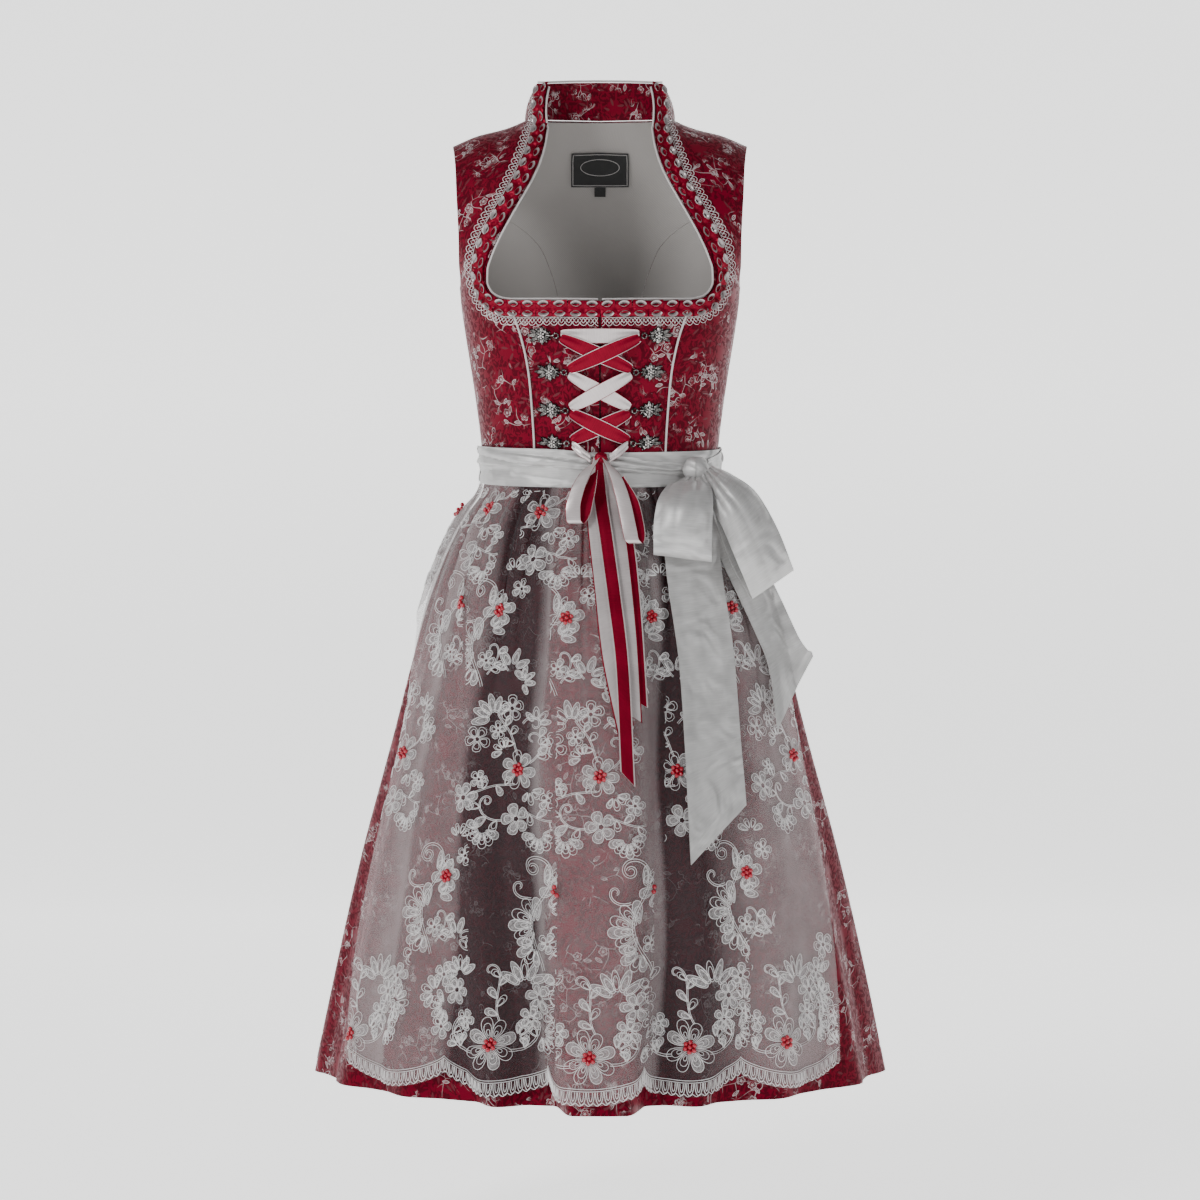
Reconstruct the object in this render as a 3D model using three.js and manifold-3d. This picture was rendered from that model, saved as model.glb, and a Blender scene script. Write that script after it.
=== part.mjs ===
// A dirndl: a sleeveless bodice with a stand-up collar and a laced front, a gathered knee-length skirt, and a
// lace apron whose ties end in a bow. It keeps the hollow form of a worn garment, with nobody in it.
// Millimetres. +Z is up, the front faces -Y and +X is the wearer's left. The origin is midway between the
// shoulders, at the height where the garment is carried.
import * as THREE from "three";
import { mergeVertices } from "three/addons/utils/BufferGeometryUtils.js";
import Module from "manifold-3d";

const wasm = await Module();
wasm.setup();
const DEGREE = Math.PI / 180;

// Driving sizes
const seamGap = 0.3; // between pieces that are sewn together
const bodiceWall = 2.2; // jacquard, interlining and lining
const liningWall = 0.9;
const skirtWall = 1.6;
const apronWall = 1.0;
const satinWall = 1.2; // the apron's band and ties
const ribbonWall = 0.9; // two satin ribbons, back to back
const waistZ = -352; // the seam between bodice and skirt
const hemZ = -984;
const underarmZ = -168;
const neckHalf = 79; // from the middle to where the shoulder seam meets the collar
const frontSlit = 0.8; // half of the slit over the zip

// Smooth curve through one column of a table, at a value of its key column. It doesn't overshoot its rows.
function curve(table, key, column, at) {
  const last = table.length - 1;
  if (at <= table[0][key]) return table[0][column];
  if (at >= table[last][key]) return table[last][column];
  let i = 0;
  while (at > table[i + 1][key]) i += 1;
  const slope = (k) => (table[k + 1][column] - table[k][column]) / (table[k + 1][key] - table[k][key]);
  const tangent = (k) => {
    if (k === 0) return slope(0);
    if (k === last) return slope(last - 1);
    const [before, after] = [slope(k - 1), slope(k)];
    return before * after <= 0 ? 0 : (2 * before * after) / (before + after);
  };
  const span = table[i + 1][key] - table[i][key];
  const t = (at - table[i][key]) / span;
  const [p, q] = [table[i][column], table[i + 1][column]];
  const rise = t * t * (3 - 2 * t);
  return p + (q - p) * rise + span * t * (1 - t) * ((1 - t) * tangent(i) - t * tangent(i + 1));
}
const mix = (a, b, t) => a + (b - a) * t;
const clamp = (value, low, high) => Math.min(high, Math.max(low, value));
const ease = (t) => {
  const c = clamp(t, 0, 1);
  return c * c * (3 - 2 * c);
};
const steps = (count) => Array.from({ length: count + 1 }, (_, i) => i / count);
const vec = (x, y, z) => new THREE.Vector3(x, y, z);

// Normals of a grid of points, from each point's neighbours: across its row, times up its column
function withNormals(points) {
  return points.map((row, i) =>
    row.map((point, j) => {
      const across = row[Math.min(j + 1, row.length - 1)].clone().sub(row[Math.max(j - 1, 0)]);
      const up = points[Math.min(i + 1, points.length - 1)][j].clone().sub(points[Math.max(i - 1, 0)][j]);
      return { point, normal: across.cross(up).normalize() };
    }),
  );
}

// A closed wall of cloth over a grid of cells {point, normal}. Its inner face lies out - thickness from the
// cells and its outer face out + raise(row, column).
function wall(grid, thickness, out = 0, { mirror = false, raise = () => 0 } = {}) {
  const rows = grid.length;
  const columns = grid[0].length;
  const points = [];
  for (const outer of [true, false])
    grid.forEach((row, i) =>
      row.forEach((cell, j) => {
        const moved = outer ? out + raise(i, j) : out - thickness;
        const p = cell.point.clone().addScaledVector(cell.normal, moved);
        points.push(mirror ? vec(-p.x, p.y, p.z) : p);
      }),
    );
  const at = (i, j, inner) => (inner ? rows * columns : 0) + i * columns + j;
  const faces = [];
  const quad = (a, b, c, d) => faces.push([a, b, c], [a, c, d]);
  for (let i = 0; i < rows - 1; i += 1)
    for (let j = 0; j < columns - 1; j += 1) {
      quad(at(i, j), at(i, j + 1), at(i + 1, j + 1), at(i + 1, j));
      quad(at(i, j, true), at(i + 1, j, true), at(i + 1, j + 1, true), at(i, j + 1, true));
    }
  for (let j = 0; j < columns - 1; j += 1) {
    quad(at(0, j, true), at(0, j + 1, true), at(0, j + 1), at(0, j));
    quad(at(rows - 1, j), at(rows - 1, j + 1), at(rows - 1, j + 1, true), at(rows - 1, j, true));
  }
  for (let i = 0; i < rows - 1; i += 1) {
    quad(at(i, 0), at(i + 1, 0), at(i + 1, 0, true), at(i, 0, true));
    quad(at(i, columns - 1, true), at(i + 1, columns - 1, true), at(i + 1, columns - 1), at(i, columns - 1));
  }
  return geometryOf(points, faces);
}

// A geometry from points and faces, turned so that it faces out
function geometryOf(points, faces) {
  let volume = 0;
  for (const [a, b, c] of faces) volume += points[a].dot(points[b].clone().cross(points[c]));
  const turned = volume < 0 ? faces.map(([a, b, c]) => [a, c, b]) : faces;
  const geometry = new THREE.BufferGeometry();
  geometry.setAttribute("position", new THREE.Float32BufferAttribute(points.flatMap((p) => [p.x, p.y, p.z]), 3));
  geometry.setIndex(turned.flat());
  return geometry;
}

// Two closed geometries or more, joined into one
function joined(geometries) {
  const solids = geometries.map((geometry) => {
    const bare = new THREE.BufferGeometry().setAttribute("position", geometry.getAttribute("position"));
    if (geometry.index) bare.setIndex(geometry.index);
    const merged = mergeVertices(bare, 1e-3);
    const mesh = { numProp: 3, vertProperties: merged.attributes.position.array };
    return new wasm.Manifold(new wasm.Mesh({ ...mesh, triVerts: new Uint32Array(merged.index.array) }));
  });
  const mesh = solids.reduce((a, b) => a.add(b)).getMesh();
  const geometry = new THREE.BufferGeometry();
  geometry.setAttribute("position", new THREE.Float32BufferAttribute(mesh.vertProperties, 3));
  return geometry.setIndex([...mesh.triVerts]);
}

// A round cord through points, with a few sides
function cord(points, radius, sides, stepCount) {
  const ring = new THREE.Shape(steps(sides - 1).map((_, i) => {
    const turn = (i / sides) * 2 * Math.PI;
    return new THREE.Vector2(radius * Math.cos(turn), radius * Math.sin(turn));
  }));
  const path = new THREE.CatmullRomCurve3(points);
  return new THREE.ExtrudeGeometry(ring, { extrudePath: path, steps: stepCount, bevelEnabled: false });
}

// The form of the bodice, as sections of a general figure in a size 36: half width, depth in front and behind
const figure = [
  { z: -400, half: 125, front: 98, back: 86 },
  { z: -352, half: 123, front: 96, back: 84 },
  { z: -331, half: 124.5, front: 98, back: 84 },
  { z: -305, half: 127.5, front: 103, back: 85 },
  { z: -263, half: 133.5, front: 113, back: 89 },
  { z: -210, half: 142, front: 122, back: 96 },
  { z: -185, half: 145.5, front: 124, back: 99 },
  { z: -168, half: 147, front: 123, back: 101 },
  { z: -150, half: 153, front: 119, back: 103 },
  { z: -110, half: 168, front: 104, back: 105 },
  { z: -60, half: 178, front: 80, back: 103 },
  { z: -20, half: 181, front: 60, back: 96 },
  { z: 20, half: 182, front: 48, back: 88 },
  { z: 60, half: 182, front: 44, back: 84 },
];
const figurePower = 2.35; // a little squarer than an ellipse
const shoulderLine = [
  { x: 0, z: 52 },
  { x: 40, z: 37 },
  { x: neckHalf, z: 10 },
  { x: 101, z: 1 },
  { x: 127, z: -5.5 },
  { x: 154.6, z: -17 },
  { x: 185, z: -30 },
];
const shoulderRound = 62; // radius of the turn from the chest to the top of the shoulder
const shoulderY = 6; // the shoulder seam lies this far behind the middle

// A section's outline at an angle from the front, 90 degrees at the wearer's left
function outline(angle, half, front, back, power) {
  const [side, fore] = [Math.sin(angle), Math.cos(angle)];
  const bent = (value) => Math.sign(value) * Math.abs(value) ** (2 / power);
  return { x: half * bent(side), y: -(fore > 0 ? front : back) * bent(fore) };
}

function figurePoint(angle, z) {
  const size = (column) => curve(figure, "z", column, z);
  const { x, y } = outline(angle, size("half"), size("front"), size("back"), figurePower);
  const drop = clamp(shoulderDrop(x, z), 0, shoulderRound);
  const fullness = Math.sqrt(1 - (1 - drop / shoulderRound) ** 2);
  return vec(x, shoulderY + (y - shoulderY) * fullness, z);
}
const shoulderDrop = (x, z) => curve(shoulderLine, "x", "z", Math.abs(x)) - z;

// A cell of the figure: its point and the outward normal there. At the shoulder seam the normal stays in the
// seam's own plane, so that front and back meet edge to edge.
function figureCell(angle, z) {
  const point = figurePoint(angle, z);
  const turn = 0.004;
  const rise = 0.4;
  if (shoulderDrop(point.x, z) < 1) {
    const ahead = shoulderDrop(Math.abs(point.x) + 1, z) - shoulderDrop(Math.abs(point.x) - 1, z);
    const facing = Math.cos(angle) > 0 ? -1 : 1;
    point.y = shoulderY + facing * seamGap;
    return { point, normal: vec((Math.sign(point.x) * -ahead) / 2, 0, 1).normalize() };
  }
  const across = figurePoint(angle + turn, z).sub(figurePoint(angle - turn, z));
  const up = figurePoint(angle, z + rise).sub(figurePoint(angle, z - rise));
  return { point, normal: across.cross(up).normalize() };
}
function angleAt(x, z) {
  const share = clamp(Math.abs(x) / curve(figure, "z", "half", z), 0, 1);
  return Math.sign(x) * Math.asin(share ** (figurePower / 2));
}
const frontCell = (x, z) => figureCell(angleAt(x, z), z);
const backCell = (x, z) => figureCell(Math.PI - angleAt(x, z), z);

// Seam lines that the pieces share, for the wearer's left; the right is their mirror
const collarSeamFront = [
  { x: 55.5, z: -5 },
  { x: 63, z: -1 },
  { x: 71, z: 4 },
  { x: neckHalf, z: 10 },
];
const collarSeamBack = [
  { x: 0, z: 21 },
  { x: 32, z: 20 },
  { x: 58, z: 17 },
  { x: 74, z: 12.2 },
  { x: neckHalf, z: 10 },
];
const topSeam = (seam, x) =>
  Math.abs(x) < neckHalf ? curve(seam, "x", "z", Math.abs(x)) : curve(shoulderLine, "x", "z", Math.abs(x));
const armhole = [
  { z: underarmZ, x: 147 },
  { z: underarmZ + 0.6, x: 145.6 },
  { z: -160, x: 145 },
  { z: -148, x: 145.8 },
  { z: -126, x: 145.6 },
  { z: -100, x: 146.6 },
  { z: -77, x: 148 },
  { z: -50, x: 149.6 },
  { z: -30, x: 152 },
  { z: -17, x: 154.6 },
];
const sideX = (z) => curve(z < underarmZ ? figure : armhole, "z", z < underarmZ ? "half" : "x", z);

// The neckline and the border beside it, from the middle of the front to the collar: where the cloth ends
// (x, z) and where the lace edging ends (laceX, laceZ)
const border = [
  { x: 0, z: -193, laceX: 0, laceZ: -215.5 },
  { x: 45, z: -192.2, laceX: 45, laceZ: -214.5 },
  { x: 78, z: -191.2, laceX: 80, laceZ: -213.5 },
  { x: 92, z: -190.3, laceX: 97, laceZ: -211.8 },
  { x: 103.5, z: -187.4, laceX: 112, laceZ: -205.5 },
  { x: 112.8, z: -180, laceX: 125.5, laceZ: -191.5 },
  { x: 117, z: -169, laceX: 133, laceZ: -173.5 },
  { x: 116.7, z: -157, laceX: 136.4, laceZ: -153.5 },
  { x: 112, z: -142, laceX: 134, laceZ: -134 },
  { x: 103, z: -122, laceX: 125.5, laceZ: -113.5 },
  { x: 91, z: -99.5, laceX: 112.8, laceZ: -91.5 },
  { x: 80, z: -79.5, laceX: 101.5, laceZ: -72.5 },
  { x: 70, z: -60.5, laceX: 92, laceZ: -52.5 },
  { x: 62, z: -40, laceX: 84, laceZ: -30.5 },
  { x: 57.5, z: -21, laceX: 77.5, laceZ: -8.5 },
  { x: 55.5, z: -5, laceX: 71.5, laceZ: 4.3 },
];
const borderIndexed = border.map((row, index) => ({ index, ...row }));
const princessTop = 3; // the border's row where the princess seam ends

// The princess seam, the neckline, and the side seam and armhole that each row of the side front reaches
const sideFrontRows = [
  { x: 66, z: waistZ + seamGap, outZ: waistZ + seamGap },
  { x: 66.8, z: -331, outZ: -331 },
  { x: 68.6, z: -301, outZ: -301 },
  { x: 71.6, z: -266, outZ: -266 },
  { x: 78.2, z: -232, outZ: -234 },
  { x: 85.5, z: -209, outZ: -213 },
  ...[-199, -189, -178, -168.2, -167.4, -160, -148, -124, -98, -70, -45, -27, -17].map((outZ, i) => ({
    x: border[i + princessTop].x,
    z: border[i + princessTop].z,
    outZ,
  })),
];

// One row of a panel between two points of the figure, given by x and z. Near the top it takes the shape of
// the seam above it.
// Columns that reach given x at the top of a panel, as shares of its width there
function columnShares(from, to, places) {
  const [start, end] = [angleAt(from.x, from.z), angleAt(to.x, to.z)];
  return places.map((x) => (angleAt(x, to.z) - start) / (end - start));
}
function panelRow(from, to, columns, seam, cellAt, follow) {
  return columns.map((u) => {
    const angle = mix(angleAt(from.x, from.z), angleAt(to.x, to.z), u);
    const level = mix(from.z, to.z, u);
    const size = (column) => curve(figure, "z", column, level);
    const { x } = outline(angle, size("half"), size("front"), size("back"), figurePower);
    const z = level + follow * (topSeam(seam, x) - mix(topSeam(seam, from.x), topSeam(seam, to.x), u));
    return cellAt(x, z);
  });
}
const stitchGap = (x) => x - Math.sign(x) * (seamGap / 2 + 0.1);

function frontCentrePanel() {
  const seamRows = sideFrontRows.slice(0, princessTop + 4);
  return seamRows.map(({ x, z }, i) =>
    steps(3).map((u) => {
      const dip = i === seamRows.length - 1 ? (1 - u) * (border[0].z - z) : 0;
      return frontCell(mix(frontSlit, stitchGap(x), u), z + dip);
    }),
  );
}
const shoulderTip = { x: 154.6, z: -17 };
function frontSidePanel() {
  const columns = [0, ...columnShares({ x: 55.5, z: -5 }, shoulderTip, [neckHalf, 103, 128]), 1];
  return sideFrontRows.map(({ x, z, outZ }) => {
    const follow = clamp((outZ + 150) / 110, 0, 1);
    const inner = { x: z < border[0].z || x === border[princessTop].x ? x + 0.25 : x, z };
    const outer = { x: stitchSide(sideX(outZ), outZ), z: outZ };
    return panelRow(inner, outer, columns, collarSeamFront, frontCell, follow);
  });
}
// At the side seam a panel stops short of the widest point, by half of the gap
const stitchSide = (x, z) => (z > underarmZ ? x : x * (1 - 0.5 * (seamGap / curve(figure, "z", "front", z)) ** 2));

// The curved back seam, and the side seam and armhole that each row of the side back reaches
const sideBackRows = [
  { x: 38, z: waistZ + seamGap, outZ: waistZ + seamGap },
  { x: 38.6, z: -331, outZ: -331 },
  { x: 39.5, z: -300, outZ: -301 },
  { x: 41, z: -245, outZ: -250 },
  { x: 43.3, z: -185, outZ: -200 },
  { x: 48.7, z: -155, outZ: -168.2 },
  { x: 56.3, z: -132, outZ: -167.4 },
  { x: 65, z: -113, outZ: -160 },
  { x: 82.3, z: -95.4, outZ: -148 },
  { x: 104, z: -82, outZ: -122 },
  { x: 128, z: -72, outZ: -92 },
  { x: 147, z: -66.6, outZ: -69 },
];
const strapBackRows = [-64.5, -42, -28, -19.5, -17].map((z) => ({ x: sideX(z), z }));
function backCentrePanel() {
  const rows = [...sideBackRows.map(({ x, z }) => ({ x: stitchGap(x), z })), ...strapBackRows];
  const places = [-115, -neckHalf, -58, -32, 0, 32, 58, neckHalf, 115];
  const columns = columnShares({ x: -shoulderTip.x, z: shoulderTip.z }, shoulderTip, places);
  return rows.map(({ x, z }) =>
    panelRow({ x, z }, { x: -x, z }, [0, ...columns, 1], collarSeamBack, backCell, clamp((z + 112) / 95, 0, 1)),
  );
}
function backSidePanel() {
  return sideBackRows.map(({ x, z, outZ }) => {
    const outer = { x: stitchSide(sideX(outZ), outZ), z: outZ };
    return panelRow(outer, { x: x + 0.25, z }, steps(3), collarSeamBack, backCell, 0);
  });
}

// The stand-up collar: where each column starts on the neck seam, and its top edge
const collarColumns = [
  { seam: "front", x: 55.5, topX: 54, topY: -30, topZ: 41 },
  { seam: "front", x: 63, topX: 60.5, topY: -24, topZ: 43.5 },
  { seam: "front", x: 71, topX: 64.3, topY: -13, topZ: 46 },
  { seam: "front", x: 76.5, topX: 65.8, topY: -2, topZ: 48 },
  { seam: "front", x: neckHalf, topX: 65.8, topY: 10, topZ: 50 },
  { seam: "back", x: 74, topX: 62.3, topY: 27, topZ: 53 },
  { seam: "back", x: 58, topX: 51, topY: 45, topZ: 56.5 },
  { seam: "back", x: 32, topX: 28, topY: 58, topZ: 59.5 },
  { seam: "back", x: 0, topX: 0, topY: 62.5, topZ: 60.5 },
].map((row, index) => {
  const back = row.seam === "back";
  const seam = back ? collarSeamBack : collarSeamFront;
  const z = curve(seam, "x", "z", row.x);
  const base = (back ? backCell : frontCell)(row.x, z).point;
  return { index, baseX: base.x, baseY: base.y, baseZ: base.z, ...row };
});
const collarBulge = 3.2;
function collarPoint(column, height) {
  const at = (name) => curve(collarColumns, "index", name, Math.abs(column));
  const base = vec(at("baseX"), at("baseY"), at("baseZ") + 0.5);
  const point = base.lerp(vec(at("topX"), at("topY"), at("topZ")), height);
  const away = vec(point.x, point.y - 15, 0).normalize();
  point.addScaledVector(away, 4 * collarBulge * height * (1 - height));
  return column < 0 ? vec(-point.x, point.y, point.z) : point;
}
function collarPanel() {
  const last = collarColumns.length - 1;
  const columns = steps(2 * last).map((u) => mix(0, 2 * last, u));
  const points = [0, 0.3, 0.65, 1].map((height) =>
    columns.map((c) => {
      const point = collarPoint(c <= last ? c : 2 * last - c, height);
      return c <= last ? point : vec(-point.x, point.y, point.z);
    }),
  );
  return withNormals(points);
}

// The border as one strip that runs up the chest and on over the collar's edge: along is the length in
// millimetres from the middle of the front, across goes from 0 at the edge to 1 at the lace's outer side
const collarAcross = 2.15; // collar columns that the border is wide
const collarHigh = 46;
function borderPointAt(index, across) {
  const last = border.length - 1;
  if (index > last) return collarPoint(across * collarAcross, clamp(index - last, 0, 1));
  const at = (name) => curve(borderIndexed, "index", name, index);
  return frontCell(mix(at("x"), at("laceX"), across), mix(at("z"), at("laceZ"), across)).point;
}
const borderMarks = (() => {
  const marks = [{ along: 0, index: 0 }];
  let before = borderPointAt(0, 0.35);
  for (const u of steps(160).slice(1)) {
    const index = u * border.length;
    const point = borderPointAt(index, 0.35);
    marks.push({ along: marks[marks.length - 1].along + point.distanceTo(before), index });
    before = point;
  }
  return marks;
})();
const borderLength = borderMarks[borderMarks.length - 1].along;
const borderPoint = (along, across) => borderPointAt(curve(borderMarks, "along", "index", along), across);
const borderGrid = (start, end, count, acrosses) =>
  withNormals(acrosses.map((w) => steps(count).map((u) => borderPoint(mix(start, end, u), w))));

// Ruched ribbon trim: the ribbon is pinched at every pleat, and its edges open into two rows of small mouths
const trimPleats = 24;
const trimOut = 0.5;
const mouthHeights = [0.9, 3.4, 3.4, 0.9];
const pinchHeights = [0.9, 1.3, 1.3, 0.9];
function ruchedTrim(mirror) {
  const grid = borderGrid(frontSlit + 0.6, borderLength - 2, 2 * trimPleats, [0.64, 0.45, 0.24, 0.05]);
  const heights = (i, j) => (j % 2 ? mouthHeights : pinchHeights)[i];
  return wall(grid, 0, trimOut, { mirror, raise: heights });
}
const laceEdging = (mirror) =>
  wall(borderGrid(frontSlit + 0.6, borderLength - collarHigh * 0.45, 26, [1, 0.68]), 0.6, trimOut + 0.85, { mirror });

// Piping: a covered cord sewn along the neckline's edge, the collar's top edge and the princess seams
const pipingRadius = 1.1;
function necklinePiping(side) {
  const sunk = bodiceWall / 2;
  const points = steps(26).map((u) => {
    const along = mix(frontSlit + 1.2, borderLength - 1, u);
    const [edge, beside] = [borderPoint(along, 0), borderPoint(along, 0.1)];
    const ahead = borderPoint(Math.min(along + 1, borderLength), 0).sub(borderPoint(Math.max(along - 1, 0), 0));
    const away = edge.clone().sub(beside).normalize();
    const inward = ahead.cross(away).normalize();
    if (inward.y < 0) inward.negate();
    return edge.addScaledVector(away, pipingRadius + 0.75).addScaledVector(inward, sunk);
  });
  return cord(points.map((p) => vec(side * p.x, p.y, p.z)), pipingRadius, 4, 26);
}
function princessPiping(side) {
  const points = sideFrontRows.slice(1, princessTop + 3).map(({ x, z }, i) => {
    const cell = frontCell(x, i === 0 ? -337 : z);
    return cell.point.addScaledVector(cell.normal, pipingRadius + 0.5);
  });
  points[points.length - 1].lerp(points[points.length - 2], 0.35);
  return cord(points.map((p) => vec(side * p.x, p.y, p.z)), pipingRadius, 5, 8);
}
function collarPiping() {
  const last = collarColumns.length - 1;
  const points = steps(18).map((u) => {
    const column = mix(0.5, 2 * last - 0.5, u);
    const folded = column <= last ? column : 2 * last - column;
    const p = collarPoint(folded, 1);
    const inside = vec(-p.x, -(p.y - 15), 0).normalize();
    p.addScaledVector(inside, bodiceWall / 2).add(vec(0, 0, pipingRadius + 0.3));
    return column <= last ? p : vec(-p.x, p.y, p.z);
  });
  return cord(points, pipingRadius, 4, 20);
}

// A strip of the figure's front between two heights, as a zip behind the slit or a label inside the back
function patch(cellAt, low, high, halfWidth, thickness, out) {
  const grid = steps(5).map((v) => steps(2).map((u) => cellAt(mix(-halfWidth, halfWidth, u), mix(low, high, v))));
  return wall(grid, thickness, out);
}

// Cast lacing hooks: a rosette with leaves, and a small ring on the side of the lacing. eyeX is where the
// ribbon passes, for the wearer's left.
const hookRows = [
  { eyeX: 43.5, z: -226.5 },
  { eyeX: 35.5, z: -263 },
  { eyeX: 34.3, z: -301 },
  { eyeX: 33, z: -334.5 },
];
const hookReach = 15.5; // from the ring's middle to the rosette's middle
// The casting's outline round the rosette, from its outer tip: tips of leaves, and the notches between them
const hookOutline = [
  { turn: 0, radius: 14 },
  { turn: 15, radius: 6.6 },
  { turn: 34, radius: 12 },
  { turn: 57, radius: 5.6 },
  { turn: 88, radius: 9.5 },
  { turn: 122, radius: 5.3 },
  { turn: 168, radius: 4.8 },
  { turn: 175.5, radius: 12.6 },
];
// The lowest pair has no lower leaf, because the apron's band lies there: lower is the side that it is on
function hookGeometry(lower) {
  const half = (side) =>
    hookOutline.map(({ turn, radius }) => {
      const length = side === lower && turn > 20 && turn < 110 ? Math.min(radius, 5.2) : radius;
      return new THREE.Vector2(length * Math.cos(turn * DEGREE), side * length * Math.sin(turn * DEGREE));
    });
  const plate = new THREE.Shape([...half(1), ...half(-1).slice(1).reverse()]);
  const casting = new THREE.ExtrudeGeometry(plate, { depth: 1.6, bevelEnabled: false });
  const rosette = new THREE.CylinderGeometry(2.6, 4.2, 2.4, 7).rotateX(Math.PI / 2).translate(0, 0, 2.3);
  const ring = new THREE.TorusGeometry(2.6, 0.8, 4, 7).translate(-hookReach, 0, 0.9);
  return joined([casting, rosette, ring]);
}
const hookLift = 0.7;
function hookMesh(row, side) {
  const cell = frontCell(side * (row.eyeX + hookReach), row.z);
  const up = vec(0, 0, 1).addScaledVector(cell.normal, -cell.normal.z).normalize();
  const outward = vec(side, 0, 0).addScaledVector(cell.normal, -side * cell.normal.x).normalize();
  const basis = side > 0 ? [outward, up] : [outward, up.negate()];
  const turn = new THREE.Matrix4().makeBasis(...basis, cell.normal);
  turn.setPosition(cell.point.clone().addScaledVector(cell.normal, hookLift));
  return hookGeometry(row === hookRows[hookRows.length - 1] ? -side : 0).applyMatrix4(turn);
}

// A ribbon or tie as a strip: rows of {at, half}, its middle and half of its width as vectors, with an
// optional crown that bows it
function strip(rows, thickness, across = 2) {
  const points = rows.map(({ at, half, crown = 0, bow = vec(0, -1, 0) }) =>
    steps(across).map((u) => {
      const v = 2 * u - 1;
      return at.clone().addScaledVector(half, v).addScaledVector(bow, crown * (1 - v * v));
    }),
  );
  return wall(withNormals(points), thickness, thickness / 2);
}
// Points of a smooth path by its share, through a table of places
function along(places, share, make = (p) => vec(p.x, p.y, p.z)) {
  const indexed = places.map((p, index) => ({ index, ...p }));
  const at = {};
  for (const name of Object.keys(places[0])) at[name] = curve(indexed, "index", name, share * (places.length - 1));
  return { place: make(at), ...at };
}

// The lacing: one two-sided ribbon that crosses three times between the rings
const ribbonWidth = 14.5;
const pinchedWidth = 5;
const crossings = [
  { name: "lacing_bar_top", from: [0, -1], to: [0, 1], start: 2.4, middle: 2.6, drop: 2, slot: "ribbon_silver" },
  { name: "lacing_cross_1_under", from: [0, -1], to: [1, 1], start: 4.2, middle: 4.8, slot: "ribbon_red" },
  { name: "lacing_cross_1_over", from: [0, 1], to: [1, -1], start: 4.2, middle: 7.4, slot: "ribbon_red" },
  { name: "lacing_cross_2_under", from: [1, -1], to: [2, 1], middle: 4.2, slot: "ribbon_silver" },
  { name: "lacing_cross_2_over", from: [1, 1], to: [2, -1], middle: 6, slot: "ribbon_silver" },
  { name: "lacing_cross_3_under", from: [2, 1], to: [3, -1], middle: 4.2, slot: "ribbon_red" },
  { name: "lacing_cross_3_over", from: [2, -1], to: [3, 1], middle: 6, slot: "ribbon_red" },
];
function crossingRibbon({ from, to, middle, start = 3.2, drop = 0 }) {
  const end = ([row, side], other) => {
    const sameRow = row === other[0];
    const below = sameRow ? 1 : row < other[0] ? -2.5 : 2.5;
    return vec(side * (hookRows[row].eyeX - 4.4), 0, hookRows[row].z + below);
  };
  const [a, b] = [end(from, to), end(to, from)];
  const aside = vec(-(b.z - a.z), 0, b.x - a.x).normalize();
  const rows = steps(8).map((t) => {
    const spread = Math.sin(Math.PI * t) ** 0.6;
    const flat = a.clone().lerp(b, t).add(vec(0, 0, -drop * spread));
    const cell = frontCell(flat.x, flat.z);
    const out = mix(start, middle, Math.sin(Math.PI * t) ** 0.8);
    const half = aside.clone().multiplyScalar(mix(pinchedWidth, ribbonWidth, spread) / 2);
    const tilt = half.clone().addScaledVector(cell.normal, -half.dot(cell.normal));
    return { at: cell.point.clone().addScaledVector(cell.normal, out), half: tilt };
  });
  return strip(rows, ribbonWall, 1);
}

// The skirt: the form it hangs in, as half width, depth in front and behind, at each height
const skirtForm = [
  { z: hemZ, half: 288, front: 238, back: 254, power: 1.85 },
  { z: -888, half: 270, front: 221, back: 237, power: 1.88 },
  { z: -762, half: 243.5, front: 197, back: 210, power: 1.92 },
  { z: -636, half: 212, front: 169, back: 178, power: 1.98 },
  { z: -572, half: 197, front: 153, back: 161, power: 2.03 },
  { z: -518, half: 183, front: 138, back: 145, power: 2.08 },
  { z: -473, half: 168, front: 125, back: 129, power: 2.15 },
  { z: -428, half: 149, front: 110, back: 110, power: 2.25 },
  { z: -403, half: 136, front: 102, back: 98, power: 2.3 },
  { z: -384, half: 124, front: 95.5, back: 86, power: 2.35 },
  { z: -370, half: 120.5, front: 93, back: 81.5, power: 2.35 },
  { z: waistZ, half: 120, front: 92.5, back: 81, power: 2.35 },
];
const gathers = 40; // small gathers round the waist
const gatherDepth = [
  { z: -660, depth: 0 },
  { z: -560, depth: 0.7 },
  { z: -450, depth: 2.6 },
  { z: -410, depth: 2.5 },
  { z: -385, depth: 0.8 },
  { z: waistZ, depth: 0.5 },
];
// The large folds, round from the front in degrees: where each lies and half of its width at its top and at the
// hem, how far it stands out at the hem, and how much of it is flat
const foldTop = -392;
const folds = [
  { topAt: -6, at: 0, topHalf: 25.5, half: 10.5, high: 52, flat: 0.5 },
  { topAt: -44, at: -21, topHalf: 9, half: 6, high: 20, flat: 0 },
  { topAt: 27, at: 20, topHalf: 9, half: 6, high: 16, flat: 0 },
  { topAt: -52, at: -42, topHalf: 10, half: 8, high: 11, flat: 0 },
  { topAt: 46, at: 38, topHalf: 10, half: 8, high: 12, flat: 0 },
  ...[-62, -84, 62, 84].map((at) => ({ topAt: at, at, topHalf: 10, half: 10, high: 11, flat: 0 })),
  ...steps(6).map((u, i) => {
    const at = mix(107, 253, u);
    return { topAt: at, at, topHalf: 11, half: 12, high: 22 + 5 * Math.sin(2.4 * i), flat: 0.1 };
  }),
];
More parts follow.
